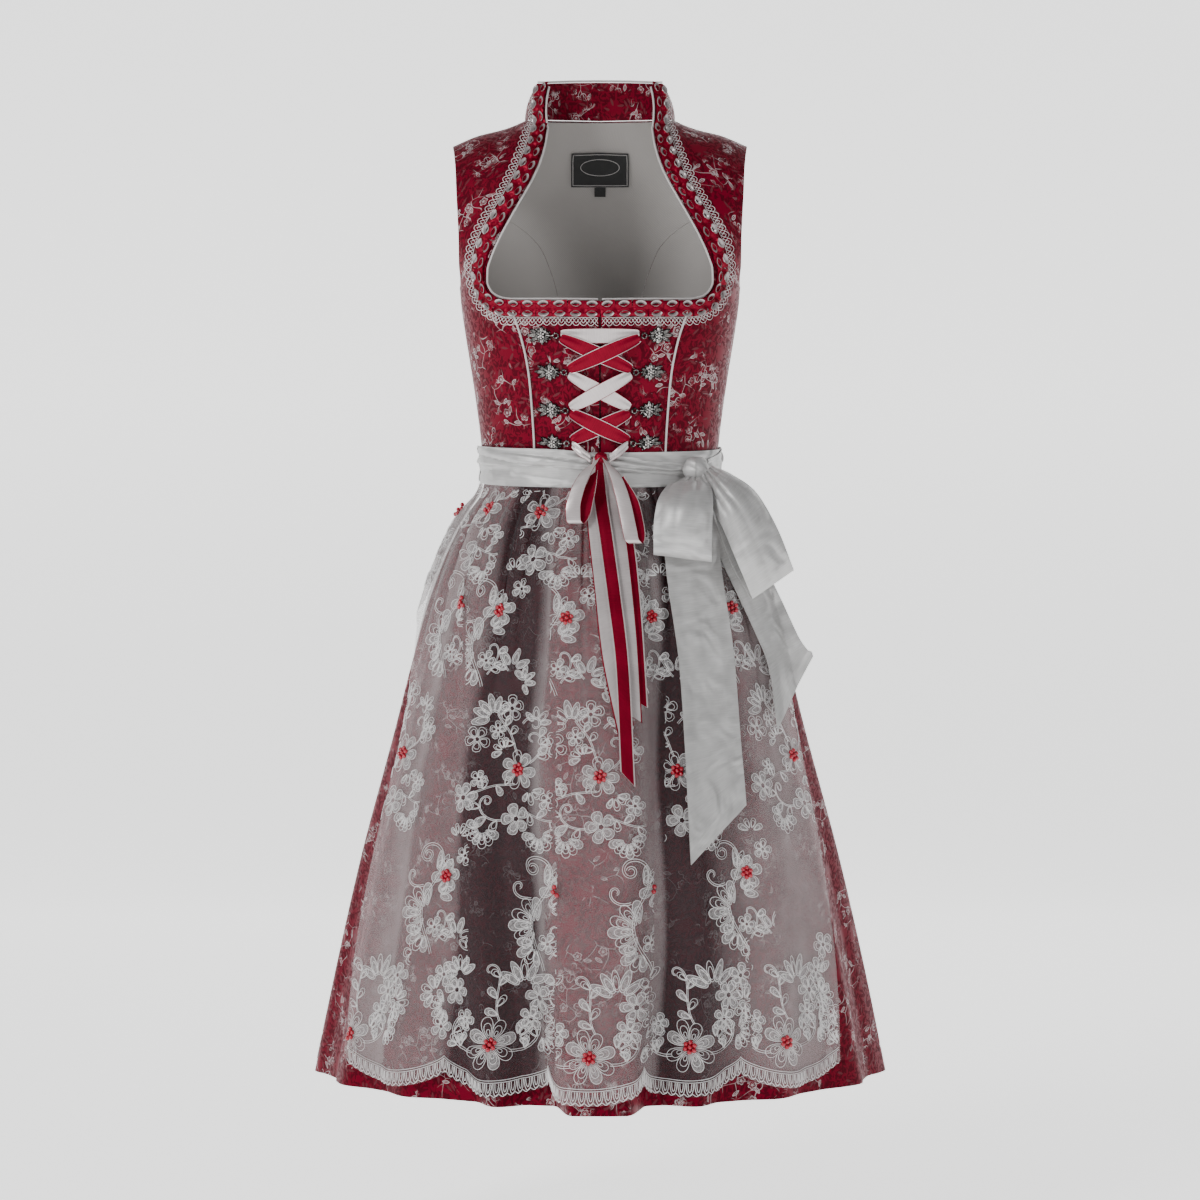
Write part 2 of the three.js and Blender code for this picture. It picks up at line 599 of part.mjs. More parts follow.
function foldHeight(angle, z) {
  const down = clamp((foldTop - z) / (foldTop - hemZ), 0, 1);
  let total = 0;
  for (const fold of folds) {
    const [at, half] = [mix(fold.topAt, fold.at, down), mix(fold.topHalf, fold.half, down ** 0.8)];
    const away = Math.abs(((angle / DEGREE - at + 540) % 360) - 180);
    total += fold.high * down ** 0.85 * (1 - ease((away / half - fold.flat) / (1 - fold.flat)));
  }
  return total;
}
function skirtPoint(angle, z) {
  const size = (column) => curve(skirtForm, "z", column, z);
  const { x, y } = outline(angle, size("half"), size("front"), size("back"), size("power"));
  const wave = curve(gatherDepth, "z", "depth", z) * Math.cos(gathers * angle) * (1 + 0.3 * Math.sin(7 * angle));
  const away = vec(x / size("half"), y / size("front"), 0).normalize();
  return vec(x, y, z).addScaledVector(away, wave + foldHeight(angle, z));
}
function skirtCell(angle, z) {
  const turn = 0.35 * DEGREE;
  const across = skirtPoint(angle + turn, z).sub(skirtPoint(angle - turn, z));
  const up = skirtPoint(angle, z + 1).sub(skirtPoint(angle, z - 1));
  const normal = across.cross(up).normalize();
  const outward = vec(Math.sin(angle), -Math.cos(angle), 0);
  return { point: skirtPoint(angle, z), normal: normal.lerp(outward, 0.35).normalize() };
}
const skirtLevels = [hemZ, -830, -670, -540, -455, -408, -384, waistZ - seamGap];
function skirtHalf(start) {
  const grid = skirtLevels.map((z) =>
    steps(2 * gathers).map((u, j) => {
      const trim = (seamGap * 1.2) / curve(skirtForm, "z", "half", z);
      const ends = j === 0 ? trim : j === 2 * gathers ? -trim : 0;
      return skirtCell(start + u * Math.PI + ends, z);
    }),
  );
  return wall(grid, skirtWall);
}

// The apron: lace gathered into a band. It lies on the skirt and narrows against it towards the hem.
const apronEdge = [
  { z: hemZ, right: 59, left: 55.5 },
  { z: -878, right: 62.5, left: 58.8 },
  { z: -741, right: 67.5, left: 62.8 },
  { z: -600, right: 71, left: 69 },
  { z: -520, right: 80, left: 79 },
  { z: -473, right: 88, left: 88 },
  { z: -376, right: 95, left: 95 },
];
const apronColumns = 60;
const apronLevels = [0, 0.14, 0.32, 0.5, 0.68, 0.79, 0.872, 0.945, 1];
const apronClear = [
  { z: -900, out: 8.2 },
  { z: -560, out: 7 },
  { z: -430, out: 7 },
  { z: -395, out: 4.8 },
  { z: -376, out: 4.4 },
];
const apronAngle = (share, z) => {
  const at = (name) => curve(apronEdge, "z", name, z) * DEGREE;
  return mix(-at("right"), at("left"), share);
};
const apronPoint = (angle, z, extra = 0) => {
  const cell = skirtCell(angle, z);
  return cell.point.addScaledVector(cell.normal, curve(apronClear, "z", "out", z) + extra);
};
const bandMiddle = (angle) => -351 - 9 * Math.max(0, Math.cos(angle));
const bandHalf = 20;
const hemScallop = 18; // depth of the apron's large scallops
const scallopWidth = 150; // along the cloth
const apronHemZ = -957;
// Where each column lies round the body at the hem, and how much cloth lies before it
const apronSpread = (() => {
  const spread = [];
  let before = null;
  let cloth = 0;
  for (const share of steps(apronColumns)) {
    const point = apronPoint(apronAngle(share, -960), -960);
    cloth += before ? point.distanceTo(before) : 0;
    before = point;
    spread.push({ share, cloth });
  }
  return spread;
})();
const apronCloth = apronSpread[apronColumns].cloth;
const scallops = Math.round(apronCloth / scallopWidth);
function apronPanel() {
  return apronLevels.map((level) =>
    apronSpread.map(({ share, cloth }) => {
      const arc = Math.abs(Math.sin(Math.PI * scallops * (cloth / apronCloth))) ** 0.7;
      const bottom = apronHemZ - hemScallop * arc;
      const z = mix(bottom, bandMiddle(apronAngle(share, -376)) - bandHalf - 0.8, level);
      const angle = apronAngle(share, z);
      return { point: apronPoint(angle, z), normal: skirtCell(angle, z).normal };
    }),
  );
}

// The apron's band and the ties that go round the waist over it
function bandGrid(fromDegrees, toDegrees, count, edges) {
  return edges.map((_, i) =>
    steps(count).map((u) => {
      const angle = mix(fromDegrees, toDegrees, u) * DEGREE;
      return figureCell(angle, typeof edges[i] === "function" ? edges[i](u, angle) : edges[i]);
    }),
  );
}
const bandOut = 1.2 + satinWall;
const tieOut = bandOut + 0.5 + satinWall;
const knotAngle = 50;
const apronBand = () =>
  wall(
    bandGrid(-96, 96, 24, [(u, a) => bandMiddle(a) - bandHalf, (u, a) => bandMiddle(a), (u, a) => bandMiddle(a) + 16]),
    satinWall,
    bandOut,
  );
const tieFront = () =>
  wall(
    bandGrid(-91, knotAngle - 7, 20, [
      (u, a) => bandMiddle(a) + mix(0, -8, ease(2 * u - 1)),
      (u, a) => bandMiddle(a) + mix(10, -2, ease(2 * u - 1)),
      (u, a) => bandMiddle(a) + mix(19.5, 4, ease(2 * u - 1)),
    ]),
    satinWall,
    tieOut,
  );
const tieSide = () =>
  wall(
    bandGrid(knotAngle + 9, 96, 8, [
      (u, a) => bandMiddle(a) + mix(-9, -16, u),
      (u, a) => bandMiddle(a) + mix(-1, 1, u),
      (u, a) => bandMiddle(a) + mix(7, 18, u),
    ]),
    satinWall,
    tieOut,
  );
const tieBack = () => wall(bandGrid(96.6, 268.4, 20, [-369, -350, -332]), satinWall, tieOut);

// A knot: a rounded lump of cloth, flattened towards the body
function knot(at, size, facets = [9, 6]) {
  return new THREE.SphereGeometry(1, ...facets).scale(size.x, size.y, size.z).rotateZ(0.4).translate(at.x, at.y, at.z);
}
const bowKnot = { x: 98.2, y: -83.1, z: -361 };
// A bow's loop leaves the knot, turns at its end and comes back behind itself: the middle of the tie, half of
// its width sideways and up, and how far it is bowed
const leftLoop = [
  { x: 95, y: -90.2, z: -369.2, wide: 8, tilt: 0, crown: 0 },
  { x: 90, y: -118, z: -380, wide: 22, tilt: -1, crown: 6 },
  { x: 85, y: -137, z: -400, wide: 28, tilt: -2, crown: 7 },
  { x: 82.5, y: -147, z: -428, wide: 29, tilt: -3, crown: 4 },
  { x: 82.5, y: -150, z: -446, wide: 29, tilt: -3.6, crown: 1 },
  { x: 82.5, y: -146, z: -452, wide: 29, tilt: -3.6, crown: 0 },
  { x: 82.5, y: -142, z: -446, wide: 28.6, tilt: -3.6, crown: 0 },
  { x: 84, y: -134, z: -422, wide: 26, tilt: -2, crown: 0 },
  { x: 89, y: -117, z: -394, wide: 18, tilt: -1, crown: 0 },
  { x: 95, y: -103, z: -378.5, wide: 9, tilt: 0, crown: 0 },
];
const rightLoop = [
  { x: 108.6, y: -89.8, z: -362.5, wide: 4.5, tilt: 5, crown: 0 },
  { x: 122, y: -110, z: -380, wide: 11, tilt: 13, crown: 6 },
  { x: 140, y: -125, z: -403, wide: 17.5, tilt: 17, crown: 7 },
  { x: 159, y: -129, z: -441, wide: 21, tilt: 16, crown: 5 },
  { x: 171, y: -124, z: -470, wide: 21.5, tilt: 14.5, crown: 2 },
  { x: 174.5, y: -118, z: -478, wide: 21.5, tilt: 14.5, crown: 0 },
  { x: 170, y: -112, z: -472, wide: 21.5, tilt: 14.5, crown: 0 },
  { x: 154, y: -109, z: -446, wide: 20, tilt: 15, crown: -2 },
  { x: 135, y: -103, z: -409, wide: 15, tilt: 14, crown: -2 },
  { x: 121, y: -90, z: -388, wide: 6, tilt: 8, crown: 0 },
];
const loopGeometry = (places, thickness, count, across) =>
  strip(
    steps(count).map((t) => {
      const p = along(places, t);
      return { at: p.place, half: vec(p.wide, 0, p.tilt), crown: p.crown };
    }),
    thickness,
    across,
  );

// A hanging end lies before the apron: its middle, its half width, its distance from the apron's fullest folds
// at its top and its foot, and how far its lower corners differ in height
function hangingY(x, z, out) {
  const size = (column) => curve(skirtForm, "z", column, z);
  const share = clamp(Math.abs(x) / (size("half") + 14), 0, 0.94);
  const down = clamp((foldTop - z) / (foldTop - hemZ), 0, 1);
  const fullness = mix(54, 18, ease((Math.abs(x) - 45) / 60)) * down ** 0.85 + 8 * ease((-385 - z) / 40);
  return -size("front") * (1 - share ** size("power")) ** (1 / size("power")) - fullness - out;
}
function hangingEnd(places, halfWidth, out, { count = 8, slant = 0, narrowTop = 1, across = 2 } = {}) {
  const points = steps(count).map((t) => {
    const p = along(places, t, (q) => q);
    const ahead = along(places, Math.min(1, t + 0.02), (q) => q);
    const behind = along(places, Math.max(0, t - 0.02), (q) => q);
    const run = vec(ahead.x - behind.x, 0, ahead.z - behind.z).normalize();
    const half = halfWidth * mix(narrowTop, 1, ease(t * 4));
    return steps(across).map((u) => {
      const v = 2 * u - 1;
      const x = p.x - v * half * run.z;
      const z = p.z + v * half * run.x - v * slant * ease(2.5 * t - 1.5);
      return vec(x, hangingY(x, z, mix(out[0], out[1], t)), z);
    });
  });
  return wall(withNormals(points), halfWidth > 12 ? satinWall : ribbonWall, 0.5);
}
const longEnd = [
  { x: 97, z: -372.6 },
  { x: 93, z: -440 },
  { x: 107, z: -558 },
  { x: 113, z: -655 },
  { x: 117, z: -725 },
];
const shortEnd = [
  { x: 106, z: -371.6 },
  { x: 143, z: -450 },
  { x: 174, z: -515 },
  { x: 193, z: -560 },
  { x: 199, z: -588 },
];

// The lacing's bow and its four hanging ends
const lacingKnot = { x: 1, y: -112.5, z: -350 };
const lacingLoopRight = [
  { x: -3, y: -117.9, z: -353, wide: 3.5, tilt: 3, crown: 0 },
  { x: -13, y: -125, z: -364, wide: 7, tilt: 3, crown: 1 },
  { x: -22, y: -132, z: -382, wide: 7.5, tilt: 2, crown: 1 },
  { x: -27, y: -138, z: -402, wide: 7.5, tilt: 0.6, crown: 1 },
  { x: -26.5, y: -140, z: -414, wide: 7.5, tilt: 0, crown: 0 },
  { x: -23, y: -138, z: -417, wide: 7.5, tilt: 0, crown: 0 },
  { x: -18, y: -134, z: -411, wide: 7.5, tilt: 0.6, crown: 0 },
  { x: -12, y: -127, z: -389, wide: 7, tilt: 2, crown: 0 },
  { x: -6, y: -118, z: -366, wide: 4, tilt: 3, crown: 0 },
];
const lacingLoopLeft = [
  { x: 5, y: -117.9, z: -353, wide: 3.5, tilt: -3, crown: 0 },
  { x: 15, y: -126, z: -368, wide: 7, tilt: -3, crown: 1 },
  { x: 23, y: -134, z: -392, wide: 7.5, tilt: -2, crown: 1 },
  { x: 29, y: -142, z: -420, wide: 7.5, tilt: -0.6, crown: 1 },
  { x: 32, y: -145, z: -434, wide: 7.5, tilt: 0, crown: 0 },
  { x: 36, y: -143, z: -437, wide: 7.5, tilt: 0, crown: 0 },
  { x: 38, y: -139, z: -429, wide: 7.5, tilt: 0.6, crown: 0 },
  { x: 33, y: -131, z: -400, wide: 7, tilt: 2, crown: 0 },
  { x: 20, y: -121, z: -372, wide: 4, tilt: 3, crown: 0 },
];
const lacingEnds = [
  {
    name: "lacing_end_silver_right",
    slot: "ribbon_silver",
    out: [12.8, 8.5],
    slant: -7,
    places: [{ x: -3, z: -350 }, { x: -9, z: -385 }, { x: -5, z: -425 }, { x: 1, z: -480 }, { x: 8, z: -540 }, { x: 26, z: -625 }],
  },
  {
    name: "lacing_end_red_right",
    slot: "ribbon_red",
    out: [14.4, 13],
    slant: 8,
    places: [{ x: -1, z: -350 }, { x: 0, z: -385 }, { x: 6, z: -430 }, { x: 14, z: -490 }, { x: 22, z: -560 }, { x: 27, z: -668 }],
  },
  {
    name: "lacing_end_silver_left",
    slot: "ribbon_silver",
    out: [11.2, 6],
    slant: 5,
    places: [{ x: 2, z: -350 }, { x: 10, z: -385 }, { x: 19, z: -430 }, { x: 26, z: -490 }, { x: 31, z: -550 }, { x: 34, z: -610 }],
  },
  {
    name: "lacing_end_red_left",
    slot: "ribbon_red",
    out: [9.2, 2],
    slant: 5,
    places: [{ x: 4, z: -350 }, { x: 16, z: -388 }, { x: 27, z: -435 }, { x: 33, z: -490 }, { x: 37, z: -545 }, { x: 40, z: -596 }],
  },
];
// The ribbon's last stretches, from the lowest rings to the lacing's knot
function lacingRun(side) {
  const ring = hookRows[hookRows.length - 1];
  const rows = steps(5).map((t) => {
    const x = side * mix(ring.eyeX - 5, 9.5, t);
    const z = mix(ring.z - 1, -350, t);
    const cell = frontCell(x, z);
    const out = mix(4.6, 9.2, ease(t * 1.6));
    const high = mix(2.6, 5.5, Math.sin(Math.PI * clamp(t + 0.1, 0, 0.8)));
    return { at: cell.point.clone().addScaledVector(cell.normal, out), half: vec(0, 0, high) };
  });
  return strip(rows, ribbonWall, 1);
}

// Materials
const finish = (color, roughness, metalness = 0) => new THREE.MeshStandardMaterial({ color, roughness, metalness });
const materials = {
  jacquard: finish("#8e1b2c", 0.55),
  lining: finish("#5f5c5a", 0.6),
  piping: finish("#cfc9c8", 0.5),
  ribbon_red: finish("#9d1526", 0.35),
  ribbon_silver: finish("#cdc2c0", 0.35),
  lace: finish("#dcdcdc", 0.8),
  tulle: finish("#8f8d8e", 0.8),
  satin: finish("#a9a9a8", 0.4),
  label: finish("#15120f", 0.6),
  metal: finish("#8d8a88", 0.35, 1),
  zip: finish("#2a1214", 0.6),
};
const dirndl = new THREE.Group();
function add(name, geometry, slot) {
  const mesh = new THREE.Mesh(geometry, materials[slot]);
  mesh.name = name;
  dirndl.add(mesh);
}
const sides = [
  { hand: "left", side: 1, mirror: false },
  { hand: "right", side: -1, mirror: true },
];

// The bodice, its lining where it shows, and the collar
for (const { hand, side, mirror } of sides) {
  add(`bodice_front_centre_${hand}`, wall(frontCentrePanel(), bodiceWall, 0, { mirror }), "jacquard");
  add(`bodice_front_side_${hand}`, wall(frontSidePanel(), bodiceWall, 0, { mirror }), "jacquard");
  add(`bodice_back_side_${hand}`, wall(backSidePanel(), bodiceWall, 0, { mirror }), "jacquard");
  add(`lining_back_side_${hand}`, wall(backSidePanel(), liningWall, -bodiceWall - 0.3, { mirror }), "lining");
  add(`piping_neckline_${hand}`, necklinePiping(side), "piping");
  add(`piping_princess_${hand}`, princessPiping(side), "piping");
  add(`trim_ruched_${hand}`, ruchedTrim(mirror), "ribbon_red");
  add(`lace_edging_${hand}`, laceEdging(mirror), "lace");
}
add("bodice_back_centre", wall(backCentrePanel(), bodiceWall), "jacquard");
add("lining_back_centre", wall(backCentrePanel(), liningWall, -bodiceWall - 0.3), "lining");
add("collar", wall(collarPanel(), bodiceWall), "jacquard");
add("piping_collar", collarPiping(), "piping");
const insideBack = -bodiceWall - liningWall - 2.1; // the lining's facets bulge inwards
add("neck_label", patch(backCell, -46, -9.5, 31.5, 0.6, insideBack), "label");
add("size_tag", patch(backCell, -56.6, -46.4, 6, 0.6, insideBack), "label");
add("front_zip", patch(frontCell, -347, -196, 7, 1, -bodiceWall - 0.6), "zip");

// The lacing
for (const { hand, side } of sides) {
  hookRows.forEach((row, i) => add(`lacing_hook_${i + 1}_${hand}`, hookMesh(row, side), "metal"));
  add(`lacing_run_${hand}`, lacingRun(side), "ribbon_silver");
}
for (const crossing of crossings) add(crossing.name, crossingRibbon(crossing), crossing.slot);
add("lacing_knot", knot(lacingKnot, vec(6, 4.2, 5.5), [8, 5]), "ribbon_red");
add("lacing_loop_right", loopGeometry(lacingLoopRight, ribbonWall, 14, 1), "ribbon_silver");
add("lacing_loop_left", loopGeometry(lacingLoopLeft, ribbonWall, 14, 1), "ribbon_silver");
for (const { name, slot, out, slant, places } of lacingEnds)
  add(name, hangingEnd(places, ribbonWidth / 2, out, { slant, across: 1, count: 7, narrowTop: 0.6 }), slot);

// The skirt and the apron
add("skirt_front", skirtHalf(-Math.PI / 2), "jacquard");
add("skirt_back", skirtHalf(Math.PI / 2), "jacquard");
add("apron_lace", wall(apronPanel(), apronWall, apronWall), "tulle");
add("apron_band", apronBand(), "satin");
add("apron_tie_front", tieFront(), "satin");
add("apron_tie_side", tieSide(), "satin");
add("apron_tie_back", tieBack(), "satin");
add("apron_bow_knot", knot(bowKnot, vec(11, 8.5, 12), [10, 7]), "satin");
add("apron_bow_loop_front", loopGeometry(leftLoop, satinWall, 16, 2), "satin");
add("apron_bow_loop_side", loopGeometry(rightLoop, satinWall, 16, 2), "satin");
add("apron_end_long", hangingEnd(longEnd, 28, [11, 5], { count: 10, slant: -26, narrowTop: 0.3, across: 3 }), "satin");
add("apron_end_short", hangingEnd(shortEnd, 20, [5.5, 4], { slant: -32, narrowTop: 0.4, across: 3 }), "satin");

export default dirndl;
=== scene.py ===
import math

import bpy
import numpy as np
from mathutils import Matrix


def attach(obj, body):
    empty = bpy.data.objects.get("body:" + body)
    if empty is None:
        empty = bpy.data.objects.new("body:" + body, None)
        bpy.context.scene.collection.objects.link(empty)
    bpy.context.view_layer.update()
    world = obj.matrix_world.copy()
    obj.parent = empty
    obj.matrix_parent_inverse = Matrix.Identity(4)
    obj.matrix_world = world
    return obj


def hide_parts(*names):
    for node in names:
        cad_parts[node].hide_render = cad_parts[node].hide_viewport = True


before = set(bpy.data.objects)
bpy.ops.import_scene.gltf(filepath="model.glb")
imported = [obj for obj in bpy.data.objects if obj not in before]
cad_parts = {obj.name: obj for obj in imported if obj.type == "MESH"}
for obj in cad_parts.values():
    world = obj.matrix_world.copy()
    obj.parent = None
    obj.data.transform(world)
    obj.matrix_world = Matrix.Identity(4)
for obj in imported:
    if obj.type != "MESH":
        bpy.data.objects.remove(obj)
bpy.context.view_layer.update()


# The room: a pale floor that sweeps up behind the dress, and soft light from large lamps all round.
# The camera stands level with the middle of the dress, three metres before it.
camera = bpy.data.objects.new("camera", bpy.data.cameras.new("camera"))
camera.location = (0.0, -3.0, -0.494)
camera.rotation_euler = (math.pi / 2, 0.0, 0.0)
camera.data.lens = 85.714
camera.data.sensor_width = 36.0
bpy.context.scene.collection.objects.link(camera)
bpy.context.scene.camera = camera


def linear(hexes):
    parts = [int(hexes[i : i + 2], 16) / 255 for i in (1, 3, 5)]
    return [c / 12.92 if c <= 0.04045 else ((c + 0.055) / 1.055) ** 2.4 for c in parts] + [1.0]


def add(tree, kind, inputs=None, **settings):
    made = tree.nodes.new(kind)
    for key, value in settings.items():
        setattr(made, key, value)
    for key, value in (inputs or {}).items():
        if isinstance(value, bpy.types.NodeSocket):
            tree.links.new(value, made.inputs[key])
        else:
            made.inputs[key].default_value = value
    return made


def finish(name, **values):
    made = bpy.data.materials.new(name)
    made.use_nodes = True
    shader = made.node_tree.nodes["Principled BSDF"]
    for key, value in values.items():
        shader.inputs[key.replace("_", " ")].default_value = value
    return made, made.node_tree, shader


def mesh_of(name, points, faces, materials, uv=None, slots=None, sharp=50):
    """A smooth mesh from points and cloth places in millimetres"""
    made = bpy.data.meshes.new(name)
    faces = faces if isinstance(faces, list) else faces.tolist()
    made.from_pydata((np.asarray(points) * 0.001).tolist(), [], faces)
    for material in materials:
        made.materials.append(material)
    if uv is not None:
        corner = np.empty(len(made.loops), np.int32)
        made.loops.foreach_get("vertex_index", corner)
        layer = made.uv_layers.new(name="cloth")
        layer.data.foreach_set("uv", (np.asarray(uv)[corner] * 0.001).astype(np.float32).ravel())
    if slots is not None:
        made.polygons.foreach_set("material_index", np.asarray(slots, np.int32))
    made.polygons.foreach_set("use_smooth", np.ones(len(made.polygons), bool))
    made.set_sharp_from_angle(angle=math.radians(sharp))
    made.update()
    return made


def piece(name, mesh, nodes=()):
    made = bpy.data.objects.new(f"{name}_cloth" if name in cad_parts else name, mesh)
    bpy.context.scene.collection.objects.link(made)
    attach(made, "root")
    if nodes:
        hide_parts(*nodes)
    return made


# matt painted backdrop: pale and even
backdrop, _, _ = finish(
    "matt pale paint", Base_Color=linear("#f4f4f3"), Roughness=0.9, Emission_Color=linear("#ffffff"),
    Emission_Strength=1.25,
)
sweep = [(-12000, -1180), (3200, -1180)]
sweep += [(3200 + 1200 * math.sin(t), 20 - 1200 * math.cos(t)) for t in np.linspace(0.1, math.pi / 2, 16)]
sweep += [(4400, 5000)]
sweep_points = [(x, y, z) for y, z in sweep for x in (-9000, 9000)]
sweep_faces = [(2 * i, 2 * i + 1, 2 * i + 3, 2 * i + 2) for i in range(len(sweep) - 1)]
floor = bpy.data.objects.new("floor", mesh_of("floor", sweep_points, sweep_faces, [backdrop]))
bpy.context.scene.collection.objects.link(floor)

for name, place, turn, size, power in [
    ("key", (-1.9, -2.3, 1.3), (60, 0, -40), 0.9, 58),
    ("fill", (2.3, -2.2, 0.3), (80, 0, 46), 1.6, 9),
    ("low", (0.0, -2.9, -1.1), (102, 0, 0), 1.6, 2.5),
    ("back", (1.2, 2.2, 1.0), (-60, 0, -28), 1.8, 13),
]:
    lamp = bpy.data.objects.new(name, bpy.data.lights.new(name, "AREA"))
    lamp.data.shape, lamp.data.size, lamp.data.energy = "SQUARE", size, power
    lamp.location, lamp.rotation_euler = place, [math.radians(a) for a in turn]
    bpy.context.scene.collection.objects.link(lamp)
world = bpy.data.worlds.new("studio")
bpy.context.scene.world = world
world.use_nodes = True
sky = world.node_tree.nodes["Background"].inputs
sky["Color"].default_value, sky["Strength"].default_value = linear("#f2f4f6"), 0.2


# The jacquard of bodice, collar and skirt: wine-red satin with a figure in brighter red, and blossoms,
# leaves and stems in silver thread. It was woven, so the silver lies in short floats that come and go.
def jacquard_cloth():
    made, tree, shader = finish(
        "woven jacquard", Roughness=0.5, Sheen_Weight=0.02, Sheen_Roughness=0.4, IOR=1.45
    )
    shader.inputs["Sheen Tint"].default_value = linear("#e8707c")
    shader.inputs["Specular Tint"].default_value = linear("#ff9aa2")
    shader.inputs["Specular IOR Level"].default_value = 0.16

    def calc(kind, a, b=0.0, c=0.0, clamp=False):
        return add(tree, "ShaderNodeMath", {0: a, 1: b, 2: c}, operation=kind, use_clamp=clamp).outputs[0]

    place = add(tree, "ShaderNodeTexCoord").outputs["UV"]
    # every cell holds one motif, turned its own way: x and y in millimetres from the motif's middle
    def motif(cell, randomness, shift):
        moved = add(tree, "ShaderNodeVectorMath", {0: place, 1: shift}, operation="ADD").outputs[0]
        cells = add(
            tree, "ShaderNodeTexVoronoi", {"Vector": moved, "Scale": 1000 / cell, "Randomness": randomness},
            voronoi_dimensions="2D",
        )
        gap = add(tree, "ShaderNodeVectorMath", {0: moved, 1: cells.outputs["Position"]}, operation="SUBTRACT")
        large = add(tree, "ShaderNodeVectorMath", {0: gap.outputs[0], "Scale": 1000.0}, operation="SCALE")
        luck = add(tree, "ShaderNodeSeparateColor", {"Color": cells.outputs["Color"]}).outputs
        turned = add(
            tree, "ShaderNodeVectorRotate",
            {"Vector": large.outputs[0], "Angle": calc("MULTIPLY", luck[0], 6.283)}, rotation_type="Z_AXIS",
        )
        xyz = add(tree, "ShaderNodeSeparateXYZ", {0: turned.outputs[0]}).outputs
        return xyz[0], xyz[1], luck[1], luck[2]

    def line(value, width):
        near = calc("DIVIDE", calc("ABSOLUTE", value), width)
        return calc("SUBTRACT", 1.35, near, clamp=True)

    def blossom(cell, shift, petals, radius, width):
        x, y, luck, other = motif(cell, 0.8, shift)
        turn = calc("ARCTAN2", y, x)
        away = calc("SQRT", calc("ADD", calc("MULTIPLY", x, x), calc("MULTIPLY", y, y)))
        wave = calc("ABSOLUTE", calc("COSINE", calc("MULTIPLY", turn, petals / 2)))
        edge = calc("MULTIPLY", calc("ADD", calc("POWER", wave, 0.6), 1.1), radius / 2.1)
        inside = calc("LESS_THAN", away, edge)
        heart = line(calc("SUBTRACT", away, radius * 0.2), width)
        rings = calc("MAXIMUM", line(calc("SUBTRACT", away, edge), width), heart)
        across = calc("ABSOLUTE", calc("SINE", calc("MULTIPLY", turn, petals / 2)))
        rays = line(calc("MULTIPLY", calc("MULTIPLY", across, away), 2 / petals), width * 0.7)
        drawn = calc("MAXIMUM", rings, calc("MULTIPLY", calc("MULTIPLY", rays, inside), 0.55))
        here = calc("GREATER_THAN", luck, 0.46)
        return calc("MULTIPLY", drawn, here), calc("MULTIPLY", inside, calc("LESS_THAN", luck, 0.3)), other

    def leaf(cell, shift, long, wide, width):
        x, y, luck, other = motif(cell, 1.0, shift)
        along = calc("DIVIDE", x, long)
        edge = calc("MULTIPLY", calc("SUBTRACT", 1.0, calc("MULTIPLY", along, along)), wide)
        side = calc("SUBTRACT", calc("ABSOLUTE", y), edge)
        inside = calc("LESS_THAN", side, 0.0)
        rim = calc("MULTIPLY", line(side, width), calc("LESS_THAN", calc("ABSOLUTE", along), 1.02))
        rib = calc("MULTIPLY", line(y, width * 0.8), inside)
        drawn = calc("MULTIPLY", calc("MAXIMUM", rim, rib), calc("GREATER_THAN", luck, 0.62))
        return inside, drawn, other

    large_lines, large_fill, _ = blossom(34, (0.013, 0.027, 0), 6, 9.5, 0.4)
    small_lines, small_fill, _ = blossom(17, (0.171, 0.333, 0), 5, 4.2, 0.4)
    _, bud_lines, _ = leaf(10, (0.5, 0.1, 0), 4.2, 1.5, 0.36)
    leaf_shape, _, _ = leaf(5.5, (0.9, 0.4, 0), 3.2, 0.9, 0.5)
    fern_shape, _, fern_luck = leaf(8, (0.3, 0.7, 0), 5, 1.3, 0.5)
    waver = add(tree, "ShaderNodeTexNoise", {"Vector": place, "Scale": 42.0, "Detail": 0.0}).outputs["Color"]
    shifted = add(tree, "ShaderNodeVectorMath", {0: waver, 1: (0.5, 0.5, 0.5)}, operation="SUBTRACT").outputs[0]
    bent = add(tree, "ShaderNodeVectorMath", {0: shifted, 1: (0.022, 0.022, 0), 2: place}, operation="MULTIPLY_ADD")
    web_scale = 52.0
    web = add(tree, "ShaderNodeTexVoronoi", {"Vector": bent.outputs[0], "Scale": web_scale}, voronoi_dimensions="2D",
              feature="DISTANCE_TO_EDGE").outputs[0]
    stem = line(calc("MULTIPLY", web, 1000 / web_scale), 0.3)
    glint = add(tree, "ShaderNodeTexNoise", {"Vector": place, "Scale": 30.0, "Detail": 3.0}).outputs[0]
    shown = calc("MULTIPLY", calc("SUBTRACT", glint, 0.5), 14.0, clamp=True)
    thin_lines = calc("MAXIMUM", bud_lines, calc("MULTIPLY", stem, 0.8))
    drawn = calc("MAXIMUM", calc("MAXIMUM", large_lines, small_lines), thin_lines)
    silver = calc("MULTIPLY", drawn, shown, clamp=True)

